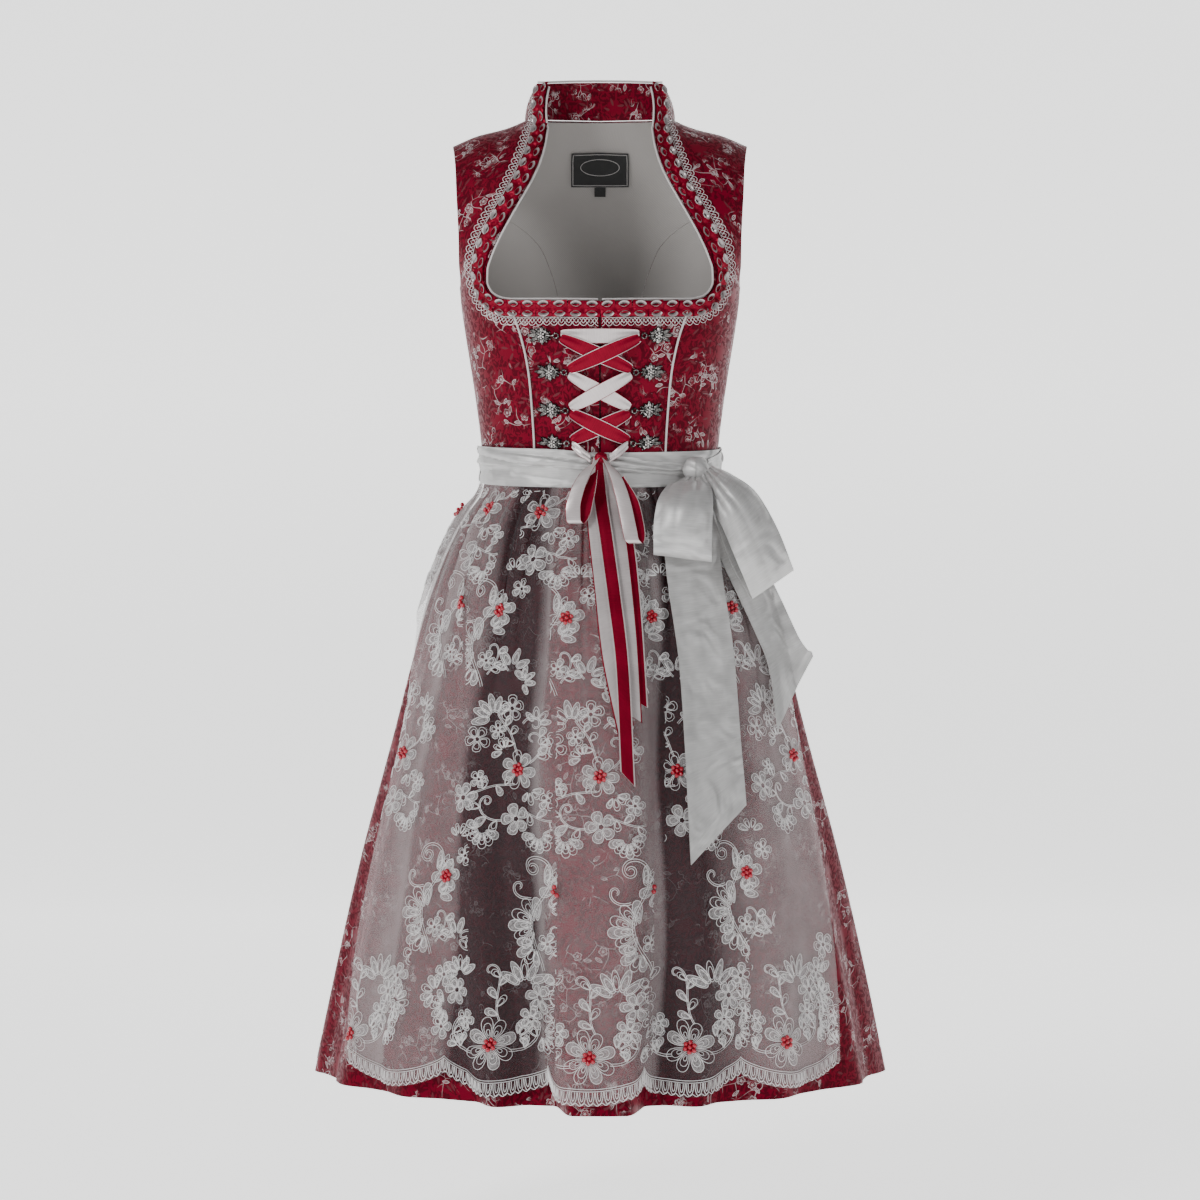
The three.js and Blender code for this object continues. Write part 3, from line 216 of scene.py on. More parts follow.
    # the figure of the ground: small leaves in satin that faces the other way, some of them greyish
    ground = calc("MAXIMUM", calc("MAXIMUM", large_fill, small_fill), calc("MAXIMUM", leaf_shape, fern_shape))
    stretched = add(tree, "ShaderNodeVectorMath", {0: place, 1: (1.0, 0.45, 1.0)}, operation="MULTIPLY").outputs[0]
    patches = add(tree, "ShaderNodeTexNoise", {"Vector": stretched, "Scale": 380.0, "Detail": 1.0}).outputs[0]
    figure = calc("MAXIMUM", ground, calc("MULTIPLY", calc("SUBTRACT", patches, 0.55), 10.0, clamp=True))
    threads = add(tree, "ShaderNodeTexNoise", {"Vector": place, "Scale": 900.0, "Detail": 2.0}).outputs[0]
    grey = calc("MULTIPLY", fern_shape, calc("GREATER_THAN", fern_luck, 0.62))
    shade = linear("#3d0210")
    for share, tone in [
        (threads, "#58061b"), (calc("MULTIPLY", figure, 0.6), "#7f0826"), (calc("MULTIPLY", grey, 0.6), "#57383b"),
        (silver, "#c2b8b8"),
    ]:
        shade = add(tree, "ShaderNodeMix", {0: share, 6: shade, 7: linear(tone)}, data_type="RGBA").outputs[2]
    tree.links.new(shade, shader.inputs["Base Color"])
    rough = calc("SUBTRACT", 0.6, calc("ADD", calc("MULTIPLY", figure, 0.2), calc("MULTIPLY", silver, 0.12)))
    tree.links.new(rough, shader.inputs["Roughness"])
    high = calc("ADD", calc("MULTIPLY", threads, 0.5), calc("ADD", silver, calc("MULTIPLY", figure, 0.35)))
    bump = add(tree, "ShaderNodeBump", {"Strength": 0.35, "Distance": 0.0004, "Height": high})
    tree.links.new(bump.outputs[0], shader.inputs["Normal"])
    return made


jacquard = jacquard_cloth()


def tinted(tree, shader, share, low, high):
    shade = add(tree, "ShaderNodeMix", {0: share, 6: linear(low), 7: linear(high)}, data_type="RGBA")
    tree.links.new(shade.outputs[2], shader.inputs["Base Color"])


# plain grey twill lining: dull, with a fine diagonal that is drawn at 1.2 mm so that it shows
lining_cloth, tree, shader = finish("twill lining", Roughness=0.62, Sheen_Weight=0.1)
place = add(tree, "ShaderNodeTexCoord").outputs["Object"]
twill = add(tree, "ShaderNodeTexWave", {"Vector": place, "Scale": 260.0, "Distortion": 0.6, "Detail": 1.0},
            bands_direction="DIAGONAL")
soft = add(tree, "ShaderNodeTexNoise", {"Vector": place, "Scale": 14.0, "Detail": 3.0})
tinted(tree, shader, soft.outputs[0], "#96928f", "#a5a19e")
bump = add(tree, "ShaderNodeBump", {"Strength": 0.2, "Distance": 0.0003, "Height": twill.outputs[1]})
tree.links.new(bump.outputs[0], shader.inputs["Normal"])


# The bodice: panels of jacquard backed with lining, cut to the figure and sewn edge to edge. Each is one wall
# over the form of a worn bodice, between the same seams as in the solids.
def curve(rows, at):
    rows, at = np.asarray(rows, float), np.asarray(at, float)
    keys, values = rows[:, 0], rows[:, 1:]
    slope = np.diff(values, axis=0) / np.diff(keys)[:, None]
    before, after = slope[:-1], slope[1:]
    total = np.where(before * after > 0, before + after, 1)
    middle = np.where(before * after > 0, 2 * before * after / total, 0)
    tangent = np.concatenate([slope[:1], middle, slope[-1:]])
    i = np.clip(np.searchsorted(keys, at, side="right") - 1, 0, len(keys) - 2)
    span = keys[i + 1] - keys[i]
    t = np.clip((at - keys[i]) / span, 0, 1)[..., None]
    rise = t * t * (3 - 2 * t)
    bend = (1 - t) * tangent[i] - t * tangent[i + 1]
    return values[i] + (values[i + 1] - values[i]) * rise + span[..., None] * t * (1 - t) * bend


def mix(a, b, t):
    return a + (b - a) * t


def ease(t):
    c = np.clip(t, 0, 1)
    return c * c * (3 - 2 * c)


def unit(v):
    return v / np.maximum(np.linalg.norm(v, axis=-1, keepdims=True), 1e-9)


def vec(x, y, z):
    return np.stack(np.broadcast_arrays(x, y, z), -1).astype(float)


def normals(points):
    return unit(np.cross(np.gradient(points, axis=1), np.gradient(points, axis=0)))


figure_form = [
    (-400, 125, 98, 86), (-352, 123, 96, 84), (-331, 124.5, 98, 84), (-305, 127.5, 103, 85),
    (-263, 133.5, 113, 89), (-210, 142, 122, 96), (-185, 145.5, 124, 99), (-168, 147, 123, 101),
    (-150, 153, 119, 103), (-110, 168, 104, 105), (-60, 178, 80, 103), (-20, 181, 60, 96),
    (20, 182, 48, 88), (60, 182, 44, 84),
]
figure_power = 2.35
# the shoulder seam's depth, and how far below it the chest and the back have their full depth
shoulder_y, shoulder_round = 6, 62
shoulder_line = [(0, 52), (40, 37), (79, 10), (101, 1), (127, -5.5), (154.6, -17), (185, -30)]


def outline(angle, size, power):
    def bent(value):
        return np.sign(value) * np.abs(value) ** (2 / power)

    fore = np.cos(angle)
    depth = np.where(fore > 0, size[..., 1], size[..., 2])
    return size[..., 0] * bent(np.sin(angle)), -depth * bent(fore)


def shoulder_drop(x, z):
    return curve(shoulder_line, np.abs(x))[..., 0] - z


def figure_point(angle, z):
    angle, z = np.broadcast_arrays(np.asarray(angle, float), np.asarray(z, float))
    x, y = outline(angle, curve(figure_form, z), figure_power)
    drop = np.clip(shoulder_drop(x, z) / shoulder_round, 0, 1)
    return vec(x, shoulder_y + (y - shoulder_y) * np.sqrt(1 - (1 - drop) ** 2), z)


def figure_cell(angle, z):
    angle, z = np.broadcast_arrays(np.asarray(angle, float), np.asarray(z, float))
    point = figure_point(angle, z)
    across = figure_point(angle + 0.004, z) - figure_point(angle - 0.004, z)
    normal = unit(np.cross(across, figure_point(angle, z + 0.4) - figure_point(angle, z - 0.4)))
    x = point[..., 0]
    ahead = shoulder_drop(np.abs(x) + 1, z) - shoulder_drop(np.abs(x) - 1, z)
    seam = (shoulder_drop(x, z) < 1)[..., None]
    normal = np.where(seam, unit(vec(-np.sign(x) * ahead / 2, 0, 1)), normal)
    level = vec(x, shoulder_y - np.sign(np.cos(angle)) * 0.2, z)
    return np.where(seam, level, point), normal


def angle_at(x, z):
    share = np.clip(np.abs(x) / curve(figure_form, z)[..., 0], 0, 1)
    return np.sign(x) * np.arcsin(share ** (figure_power / 2))


def front_cell(x, z):
    return figure_cell(angle_at(x, z), z)


def back_cell(x, z):
    return figure_cell(math.pi - angle_at(x, z), z)


def quads(grid):
    """The four corners of every cell of a grid of point numbers"""
    return np.stack([q.ravel() for q in (grid[:-1, :-1], grid[:-1, 1:], grid[1:, 1:], grid[1:, :-1])], 1)


def wall(name, cells, thickness, materials, out=0.0, mirror=False, origin=(0, 0), rim=0, rise=0.0):
    """A closed wall of cloth over a grid of (points, normals); out is how far its outer face lies from them."""
    points, normal = cells
    rows, columns = points.shape[:2]
    outer = points + normal * (out + np.asarray(rise)[..., None])
    inner = points + normal * (out - thickness)
    across = np.cumsum(np.linalg.norm(np.diff(points, axis=1, prepend=points[:, :1]), axis=2), axis=1)
    up = np.cumsum(np.linalg.norm(np.diff(points, axis=0, prepend=points[:1]), axis=2), axis=0)
    middle = across[:, -1:] / 2
    uv = np.stack([across - middle + origin[0], up[:, columns // 2, None] + origin[1] + 0 * across], -1)
    every = np.concatenate([outer.reshape(-1, 3), inner.reshape(-1, 3)])
    grid = np.arange(rows * columns).reshape(rows, columns)
    front, count = quads(grid), rows * columns
    loop = np.concatenate([grid[0], grid[1:, -1], grid[-1, -2::-1], grid[-2:0:-1, 0]])
    following = np.roll(loop, -1)
    edge = np.stack([loop, loop + count, following + count, following], 1)
    faces = np.concatenate([front, front[:, ::-1] + count, edge])
    slots = np.concatenate([np.zeros(len(front)), np.ones(len(front)), np.full(len(edge), rim)])
    if mirror:
        every, faces, uv = every * (-1, 1, 1), faces[:, ::-1], uv * (-1, 1) + (3000, 37)
    uv = np.concatenate([uv.reshape(-1, 2)] * 2)
    return mesh_of(name, every, faces, materials, uv, slots % len(materials))


def cloth(name, cells, thickness, materials, slot, nodes, held, rests_on=(), **shape):
    made = piece(name, wall(name, cells, thickness, materials, **shape), nodes)
    return made


border = [
    (0, -193, 0, -215.5), (45, -192.2, 45, -214.5), (78, -191.2, 80, -213.5), (92, -190.3, 97, -211.8),
    (103.5, -187.4, 112, -205.5), (112.8, -180, 125.5, -191.5), (117, -169, 133, -173.5),
    (116.7, -157, 136.4, -153.5), (112, -142, 134, -134), (103, -122, 125.5, -113.5),
    (91, -99.5, 112.8, -91.5), (80, -79.5, 101.5, -72.5), (70, -60.5, 92, -52.5), (62, -40, 84, -30.5),
    (57.5, -21, 77.5, -8.5), (55.5, -5, 71.5, 4.3),
]
border_rows = [(i, *row) for i, row in enumerate(border)]
side_front = [
    (66, -351.7, -351.7), (66.8, -331, -331), (68.6, -301, -301), (71.6, -266, -266), (78.2, -232, -234),
    (85.5, -209, -213),
]
armhole_rows = [-199, -189, -178, -168.2, -167.4, -160, -148, -124, -98, -70, -45, -27, -17]
side_front += [(*border[i + 3][:2], low) for i, low in enumerate(armhole_rows)]
side_front = [(i, *row) for i, row in enumerate(side_front)]
neck_x = 79
collar_seam_front = [(55.5, -5), (63, -1), (71, 4), (neck_x, 10)]
collar_seam_back = [(0, 21), (32, 20), (58, 17), (74, 12.2), (neck_x, 10)]
armhole = [
    (-168, 147), (-167.4, 145.6), (-160, 145), (-148, 145.8), (-126, 145.6), (-100, 146.6), (-77, 148),
    (-50, 149.6), (-30, 152), (-17, 154.6),
]


def side_x(z):
    return np.where(z < -168, curve(figure_form, z)[..., 0], curve(armhole, z)[..., 0])


def top_seam(seam, x):
    x = np.abs(x)
    return np.where(x < neck_x, curve(seam, x)[..., 0], curve(shoulder_line, x)[..., 0])


def panel(inner, outer, u, seam, cell_at, follow):
    """A panel between two edges, each (x, z) by row. Near the top it takes the shape of the seam above it."""
    (ax, az), (bx, bz) = ([v[:, None] for v in edge] for edge in (inner, outer))
    angle = mix(angle_at(ax, az), angle_at(bx, bz), u)
    level = mix(az, bz, u)
    x, _ = outline(angle, curve(figure_form, level), figure_power)
    z = level + follow[:, None] * (top_seam(seam, x) - mix(top_seam(seam, ax), top_seam(seam, bx), u))
    return cell_at(x, z)


fine = np.linspace(0, 1, 41)
rows = np.linspace(0, 6, 61)
seam_x, seam_z, _ = curve(side_front, rows).T
front_x = mix(0.8, seam_x[:, None] - 0.25, fine)
edge_z = curve([(x, z) for x, z, _, _ in border[:5]], front_x)[..., 0]
front_z = seam_z[:, None] + ((rows / 6) ** 6)[:, None] * (edge_z - border[3][1])
front_centre = front_cell(front_x, front_z)

rows = np.concatenate([np.linspace(0, 9, 73), np.linspace(9, 10, 6)[1:], np.linspace(10, 18, 49)[1:]])
seam_x, seam_z, out_z = curve(side_front, rows).T
seam_x = seam_x + 0.25 * np.clip(7 - rows, 0, 1)
front_side = panel(
    (seam_x, seam_z), (side_x(out_z), out_z), np.linspace(0, 1, 37), collar_seam_front, front_cell,
    np.clip((out_z + 150) / 110, 0, 1),
)

side_back = [
    (38, -351.7, -351.7), (38.6, -331, -331), (39.5, -300, -301), (41, -245, -250), (43.3, -185, -200),
    (48.7, -155, -168.2), (56.3, -132, -167.4), (65, -113, -160), (82.3, -95.4, -148), (104, -82, -122),
    (128, -72, -92), (147, -66.6, -69),
]
side_back = [(i, *row) for i, row in enumerate(side_back)]
rows = np.linspace(0, 11, 89)
seam_x, seam_z, out_z = curve(side_back, rows).T
back_side = panel(
    (side_x(out_z), out_z), (seam_x + 0.25, seam_z), np.linspace(0, 1, 33), collar_seam_back, back_cell, 0 * rows
)
strap_z = np.array([-64.5, -53, -42, -35, -28, -23.5, -19.5, -18.2, -17])
middle_x = np.concatenate([seam_x - 0.25, side_x(strap_z)])
middle_z = np.concatenate([seam_z, strap_z])
back_centre = panel(
    (middle_x, middle_z), (-middle_x, middle_z), np.linspace(0, 1, 57), collar_seam_back, back_cell,
    np.clip((middle_z + 112) / 95, 0, 1),
)

for hand, mirror in (("left", False), ("right", True)):
    for name, cells, shift in [
        ("bodice_front_centre", front_centre, 20), ("bodice_front_side", front_side, 240),
        ("bodice_back_side", back_side, 480),
    ]:
        cloth(
            f"{name}_{hand}", cells, 2.2, [jacquard, lining_cloth], "jacquard", [f"{name}_{hand}"], "stretched",
            mirror=mirror, origin=(shift, 0),
        )
    cloth(
        f"lining_back_side_{hand}", back_side, 0.9, [lining_cloth], "lining", [f"lining_back_side_{hand}"],
        "stretched", [f"bodice_back_side_{hand}"], out=-2.5, mirror=mirror,
    )
cloth("bodice_back_centre", back_centre, 2.2, [jacquard, lining_cloth], "jacquard", ["bodice_back_centre"],
      "stretched", origin=(800, 0))
cloth("lining_back_centre", back_centre, 0.9, [lining_cloth], "lining", ["lining_back_centre"], "stretched",
      ["bodice_back_centre"], out=-2.5)


# The stand-up collar: one stiffened band of the same jacquard on both sides, sewn on round the neck and open
# in front. It curves in towards the neck and bulges a little.
collar_columns = [
    ("front", 55.5, 54, -30, 41), ("front", 63, 60.5, -24, 43.5), ("front", 71, 64.3, -13, 46),
    ("front", 76.5, 65.8, -2, 48), ("front", 79, 65.8, 10, 50), ("back", 74, 62.3, 27, 53),
    ("back", 58, 51, 45, 56.5), ("back", 32, 28, 58, 59.5), ("back", 0, 0, 62.5, 60.5),
]
collar_rows = []
for i, (seam, x, *top) in enumerate(collar_columns):
    z = curve(collar_seam_back if seam == "back" else collar_seam_front, x)[0]
    base = (back_cell if seam == "back" else front_cell)(np.array(float(x)), np.array(z))[0]
    collar_rows.append((i, *base, *top))


def collar_point(column, height):
    column, height = np.broadcast_arrays(np.asarray(column, float), np.asarray(height, float))
    row = curve(collar_rows, np.abs(column))
    point = mix(row[..., :3] + (0, 0, 0.5), row[..., 3:], height[..., None])
    away = unit(vec(point[..., 0], point[..., 1] - 15, 0))
    point = point + away * (12.8 * height * (1 - height))[..., None]
    return point * np.where(column < 0, -1, 1)[..., None] ** np.array([1, 0, 0])


columns = np.linspace(0, 16, 161)
folded = np.where(columns <= 8, columns, 16 - columns)
collar = collar_point(folded, np.linspace(0, 1, 15)[:, None])
collar[:, columns > 8, 0] *= -1
cloth("collar", (collar, normals(collar)), 2.2, [jacquard], "jacquard", ["collar"], "stretched",
      ["bodice_back_centre"], origin=(1000, 0))


# The skirt: two halves of the same jacquard, gathered into the waist seam and falling in soft folds to a hem
# that is turned up and stitched 26 mm above its edge.
skirt_form = [
    (-984, 288, 238, 254, 1.85), (-888, 270, 221, 237, 1.88), (-762, 243.5, 197, 210, 1.92),
    (-636, 212, 169, 178, 1.98), (-572, 197, 153, 161, 2.03), (-518, 183, 138, 145, 2.08),
    (-473, 168, 125, 129, 2.15), (-428, 149, 110, 110, 2.25), (-403, 136, 102, 98, 2.3),
    (-384, 124, 95.5, 86, 2.35), (-370, 120.5, 93, 81.5, 2.35), (-352, 120, 92.5, 81, 2.35),
]
gather_depth = [(-660, 0), (-560, 0.7), (-450, 2.6), (-410, 2.5), (-385, 0.8), (-352, 0.5)]
# degrees round from the front at the top and at the hem, half widths there, height and flat share
folds = [
    (-6, 0, 25.5, 10.5, 52, 0.5), (-44, -21, 9, 6, 20, 0), (27, 20, 9, 6, 16, 0), (-52, -42, 10, 8, 11, 0),
    (46, 38, 10, 8, 12, 0),
]
folds += [(at, at, 10, 10, 11, 0) for at in (-62, -84, 62, 84)]
folds += [(at, at, 11, 12, 22 + 5 * math.sin(2.4 * i), 0.1) for i, at in enumerate(np.linspace(107, 253, 7))]


def fall(z):
    """Share of the way from where the folds begin down to the hem"""
    return np.clip((-392 - z) / 592, 0, 1)


def skirt_point(angle, z):
    angle, z = np.broadcast_arrays(np.asarray(angle, float), np.asarray(z, float))
    size = curve(skirt_form, z)
    x, y = outline(angle, size, size[..., 3])
    rise = curve(gather_depth, z)[..., 0] * np.cos(40 * angle) * (1 + 0.3 * np.sin(7 * angle))
    down = fall(z)
    for top_at, at, top_half, half, high, flat in folds:
        away = np.abs((np.degrees(angle) - mix(top_at, at, down) + 540) % 360 - 180)
        share = away / mix(top_half, half, down**0.8)
        rise = rise + high * down**0.85 * (1 - ease((share - flat) / (1 - flat)))
    return vec(x, y, z) + unit(vec(x / size[..., 0], y / size[..., 1], 0)) * rise[..., None]


def skirt_cell(angle, z):
    across = skirt_point(angle + 0.0061, z) - skirt_point(angle - 0.0061, z)
    normal = unit(np.cross(across, skirt_point(angle, z + 1) - skirt_point(angle, z - 1)))
    outward = vec(np.sin(angle), -np.cos(angle), 0)
    return skirt_point(angle, z), unit(normal * 0.65 + outward * 0.35)


skirt_levels = np.concatenate([
    np.linspace(-984, -962, 6), np.linspace(-961, -955, 7), np.linspace(-948, -470, 26), np.linspace(-464, -352.1, 18),
])[:, None]
for name, start in (("skirt_front", -90), ("skirt_back", 90)):
    turns = np.radians(np.linspace(start + 0.05, start + 179.95, 301))
    points, normal = skirt_cell(turns, skirt_levels)
    # the hem's stitching draws the cloth in a little, and it ripples between the stitches
    stitched = np.exp(-(((skirt_levels + 958) / 1.6) ** 2)) * (0.7 + 0.3 * np.sin(180 * turns))
    ripple = 0.5 * np.sin(37 * turns + 3 * np.sin(5 * turns)) * ease((-700 - skirt_levels) / 200)
    cloth(name, (points, normal), 1.6, [jacquard, lining_cloth], "jacquard", [name], "gathered",
          ["bodice_back_centre"], origin=(1400 + start * 4, 0), rise=ripple - stitched, rim=0)


# The apron: one length of sheer grey tulle, gathered into the band and scalloped along the hem. It lies on the
# skirt's folds and lets them show through.
apron_edge = [
    (-984, 59, 55.5), (-878, 62.5, 58.8), (-741, 67.5, 62.8), (-600, 71, 69), (-520, 80, 79), (-473, 88, 88),
    (-376, 95, 95),
]
apron_clear = [(-900, 8.2), (-560, 7), (-430, 7), (-395, 4.8), (-376, 4.4)]
apron_gather = [(-640, 0), (-540, 0.6), (-440, 1.7), (-400, 1.6), (-376, 0.5)]


def apron_angle(share, z):
    edge = np.radians(curve(apron_edge, z))
    return mix(-edge[..., 0], edge[..., 1], share)


def apron_cell(angle, z, lift=0.0):
    angle, z = np.broadcast_arrays(np.asarray(angle, float), np.asarray(z, float))
    point, normal = skirt_cell(angle, z)
    out = curve(apron_clear, z)[..., 0] + curve(apron_gather, z)[..., 0] * (
        1 + np.cos(101 * angle + 2.2 * np.sin(11 * angle))
    )
    out = out + 0.7 * np.sin(31 * angle + 2 * np.sin(7 * angle)) * ease((-470 - z) / 150)
    return point + normal * (out + lift)[..., None], normal


def band_middle(angle):
    return -351 - 9 * np.maximum(0, np.cos(angle))


share = np.linspace(0, 1, 481)
hem_line = apron_cell(apron_angle(share, np.full(481, -960.0)), -960)[0]
run = np.concatenate([[0], np.cumsum(np.linalg.norm(np.diff(hem_line, axis=0), axis=1))])
apron_width = run[-1]
scallops = round(apron_width / 150)


def hem_of(share):
    along = np.interp(share, np.linspace(0, 1, 481), run / apron_width)
    return -957 - 18 * np.abs(np.sin(math.pi * scallops * along)) ** 0.7


level = np.concatenate([np.linspace(0, 0.9, 82), np.linspace(0.905, 1, 18)])[:, None]
top = band_middle(apron_angle(share, np.full(481, -376.0))) - 20.8
apron_z = mix(hem_of(share), top, level)
apron_cells = apron_cell(apron_angle(share, apron_z), apron_z)

# sheer tulle of fine nylon: soft and dull, and see-through between its threads; the net's holes are drawn at
# 1.6 mm so that they show
tulle, tree, shader = finish("nylon tulle", Roughness=0.75, Sheen_Weight=0.05, Specular_IOR_Level=0.15)
place = add(tree, "ShaderNodeTexCoord").outputs["UV"]
net = add(tree, "ShaderNodeTexVoronoi", {"Vector": place, "Scale": 620.0}, voronoi_dimensions="2D",
          feature="DISTANCE_TO_EDGE")
cloudy = add(tree, "ShaderNodeTexNoise", {"Vector": place, "Scale": 30.0, "Detail": 3.0})
seen = add(tree, "ShaderNodeMapRange", {"Value": net.outputs[0], "From Min": 0.05, "From Max": 0.4,
                                        "To Min": 0.26, "To Max": 0.07})
uneven = add(tree, "ShaderNodeMapRange", {"Value": cloudy.outputs[0], "To Min": -0.1, "To Max": 0.1})
single = add(tree, "ShaderNodeMath", {0: seen.outputs[0], 1: uneven.outputs[0]}, operation="ADD")
# painted shade: in the skirt's fold valleys the tulle is painted dark and made less see-through; where the cloth lies
# double it is thicker
layers = add(tree, "ShaderNodeAttribute", attribute_name="doubled").outputs["Fac"]
fold_shade_painted = add(tree, "ShaderNodeAttribute", attribute_name="fold_shade_painted").outputs["Fac"]
thick = add(tree, "ShaderNodeMath", {0: fold_shade_painted, 1: 0.46, 2: layers}, operation="MULTIPLY_ADD")
veil = add(tree, "ShaderNodeMath", {0: thick.outputs[0], 1: single.outputs[0]}, operation="ADD", use_clamp=True)
tree.links.new(veil.outputs[0], shader.inputs["Alpha"])
tinted(tree, shader, fold_shade_painted, "#c9bfbf", "#433a3c")

faces = quads(np.arange(apron_z.size).reshape(apron_z.shape))
uv = np.stack([share * apron_width + 0 * apron_z, apron_z], -1).reshape(-1, 2)
made = mesh_of("apron_lace", apron_cells[0].reshape(-1, 3), faces, [tulle], uv)
angle = np.degrees(apron_angle(share, apron_z))
down = fall(apron_z)
# degrees round at the waist and at the hem, how much painted shade the fold gets there, and how much cloth lies double
shades = np.array([
    (-97, -97, 0.4, 0.1), (-60, -62, 0.2, 0.05), (-54, -50, 0.25, 0.25), (-50, -47, 0.2, 0), (-40, -36, 0.3, 0),
    (-35, -31, 1, 0), (-19, -13, 1, 0), (-16.5, -10.6, 0.6, 0.22), (-15, -9.6, 0, 0.06), (-10, -7, 0, 0),
    (9, 7, 0.1, 0), (11.5, 9.6, 0.3, 0.14), (17, 12, 0.5, 0.14), (19, 13.5, 1, 0), (30, 20, 1, 0), (38, 30, 0.6, 0),
    (46, 36, 0.1, 0.1), (60, 46, 0.1, 0.25), (75, 56, 0.2, 0.1), (97, 97, 0.4, 0.1),
])
painted_shade_at, double_at = np.empty_like(apron_z), np.empty_like(apron_z)
for i in range(len(apron_z)):
    at = mix(shades[:, 0], shades[:, 1], down[i, 240]) + 0.8 * math.sin(apron_z[i, 240] / 47)
    painted_shade_at[i], double_at[i] = np.interp(angle[i], at, shades[:, 2]), np.interp(angle[i], at, shades[:, 3])
for key, value in (("fold_shade_painted", painted_shade_at), ("doubled", double_at)):
    made.attributes.new(key, "FLOAT", "POINT").data.foreach_set("value", value.astype(np.float32).ravel())
apron = piece("apron_lace", made, ["apron_lace"])


# The apron's band and ties: dull grey duchesse satin. The band holds the gathers, and the ties go once round
# the waist over it and are tied in a bow on the left, where the satin creases.
def crumple(u, v, seed, coarse=1.0, count=9):
    luck = np.random.default_rng(seed)
    total = 0
    for _ in range(count):
        size = luck.uniform(0.5, 2.2)
        turn = luck.uniform(0, math.pi)
        total = total + np.sin(coarse * size * (u * math.cos(turn) + v * math.sin(turn)) + luck.uniform(0, 6.3)) / size
    return total / count


def satin_cloth(name, low, high, rough, rib, tint="#ffffff", crease=0.12):
    """Satin: long floats that shine one way, a fine rib drawn 1 mm apart, and soft creases pressed into it"""
    made, tree, shader = finish(name, Roughness=rough, Metallic=0.4, Anisotropic=0.4, IOR=1.5)
    shader.inputs["Specular Tint"].default_value = linear(tint)
    place = add(tree, "ShaderNodeTexCoord").outputs["UV"]
    wide = add(tree, "ShaderNodeVectorMath", {0: place, 1: (60.0, 900.0, 0)}, operation="MULTIPLY")
    slub = add(tree, "ShaderNodeTexNoise", {"Vector": wide.outputs[0], "Scale": 1.0, "Detail": 2.0})
    cloudy = add(tree, "ShaderNodeTexNoise", {"Vector": place, "Scale": 35.0, "Detail": 2.0})
    both = add(tree, "ShaderNodeMath", {0: slub.outputs[0], 1: cloudy.outputs[0]}, operation="ADD")
    tone = add(tree, "ShaderNodeMapRange", {"Value": both.outputs[0], "From Min": 0.7, "From Max": 1.3})
    tinted(tree, shader, tone.outputs[0], low, high)
    pressed = add(tree, "ShaderNodeTexNoise", {"Vector": place, "Scale": 24.0, "Detail": 1.0, "Distortion": 1.4})
    soft = add(tree, "ShaderNodeBump", {"Strength": crease, "Distance": 0.008, "Height": pressed.outputs[0]})
    bump = add(tree, "ShaderNodeBump", {
        "Strength": rib, "Distance": 0.0002, "Height": slub.outputs[0], "Normal": soft.outputs[0],
    })
    tree.links.new(bump.outputs[0], shader.inputs["Normal"])
    return made


duchesse = satin_cloth("duchesse satin", "#b4b3b2", "#cbcac9", 0.47, 0.3, crease=0.6)


def band_cells(start, end, count, edges):
    u = np.linspace(0, 1, count)
    angle = np.radians(mix(start, end, u))
    lows = [np.broadcast_to(edge(u, angle), u.shape) for edge in edges]
    v = np.linspace(0, 1, 17)[:, None]
    z = mix(lows[0], lows[-1], v)
    return figure_cell(angle, z), u, v, angle


# degrees round from the front at both ends, columns, height over the form, and the lower and upper edges
bands = {
    "apron_band": (-96, 96, 181, 2.4, [lambda u, a: band_middle(a) - 20, lambda u, a: band_middle(a) + 16]),
    "apron_tie_front": (-91, 43, 161, 4.1, [
        lambda u, a: band_middle(a) + mix(0, -8, ease(2 * u - 1)),
        lambda u, a: band_middle(a) + mix(19.5, 4, ease(2 * u - 1)),
    ]),
    "apron_tie_side": (59, 96, 61, 4.1, [
        lambda u, a: band_middle(a) + mix(-9, -16, u), lambda u, a: band_middle(a) + mix(7, 18, u),
    ]),
    "apron_tie_back": (96.6, 268.4, 161, 4.1, [lambda u, a: -369 + 0 * u, lambda u, a: -332 + 0 * u]),
}
for i, (name, (start, end, count, out, edges)) in enumerate(bands.items()):
    cells, u, v, angle = band_cells(start, end, count, edges)
    tight = 0.6 if name == "apron_band" else 1.0
    drawn = crumple(angle * 5 + 0 * v, v * 9 + angle * 1.5, 20 + i) * 4.6 * tight
    ridge = np.abs(np.sin(5.2 * v + 1.6 * np.sin(1.9 * angle + i) + 0.8 * angle)) ** 0.6
    folded = tight * 4.2 * (ridge - 0.55) * np.sin(math.pi * v) ** 0.5
    soft = np.maximum((drawn + folded) * np.minimum(1, 6 * np.sin(math.pi * v)), -0.9)
    cloth(name, cells, 1.2, [duchesse], "satin", [name], "stretched", ["bodice_back_centre"], out=out, rise=soft)


def strip(places, count, across, folds=0.0, seed=1, lean=0.0):
    """A tie's loop: rows of its middle, half width sideways and up, and how far it is bowed"""
    t = np.linspace(0, 1, count)
    row = curve([(i, *p) for i, p in enumerate(places)], t * (len(places) - 1))[:, None]
    v = np.linspace(-1, 1, across)[None, :]
    half = vec(row[..., 3], lean * row[..., 3], row[..., 4])
    pinch = np.exp(-t * 7)[:, None] + np.exp(-(1 - t) * 7)[:, None]
    fold = folds * pinch * 2.6 * np.abs(np.cos(5.5 * v + seed)) ** 0.6
    fold = fold + folds * crumple(t[:, None] * 9, v * 3, seed) * 1.6
    point = (row[..., :3] + half * v[..., None] + vec(0, -(1.9 * row[..., 5] * (1 - v * v) + fold), 0))[:, ::-1]
    return point, normals(point)


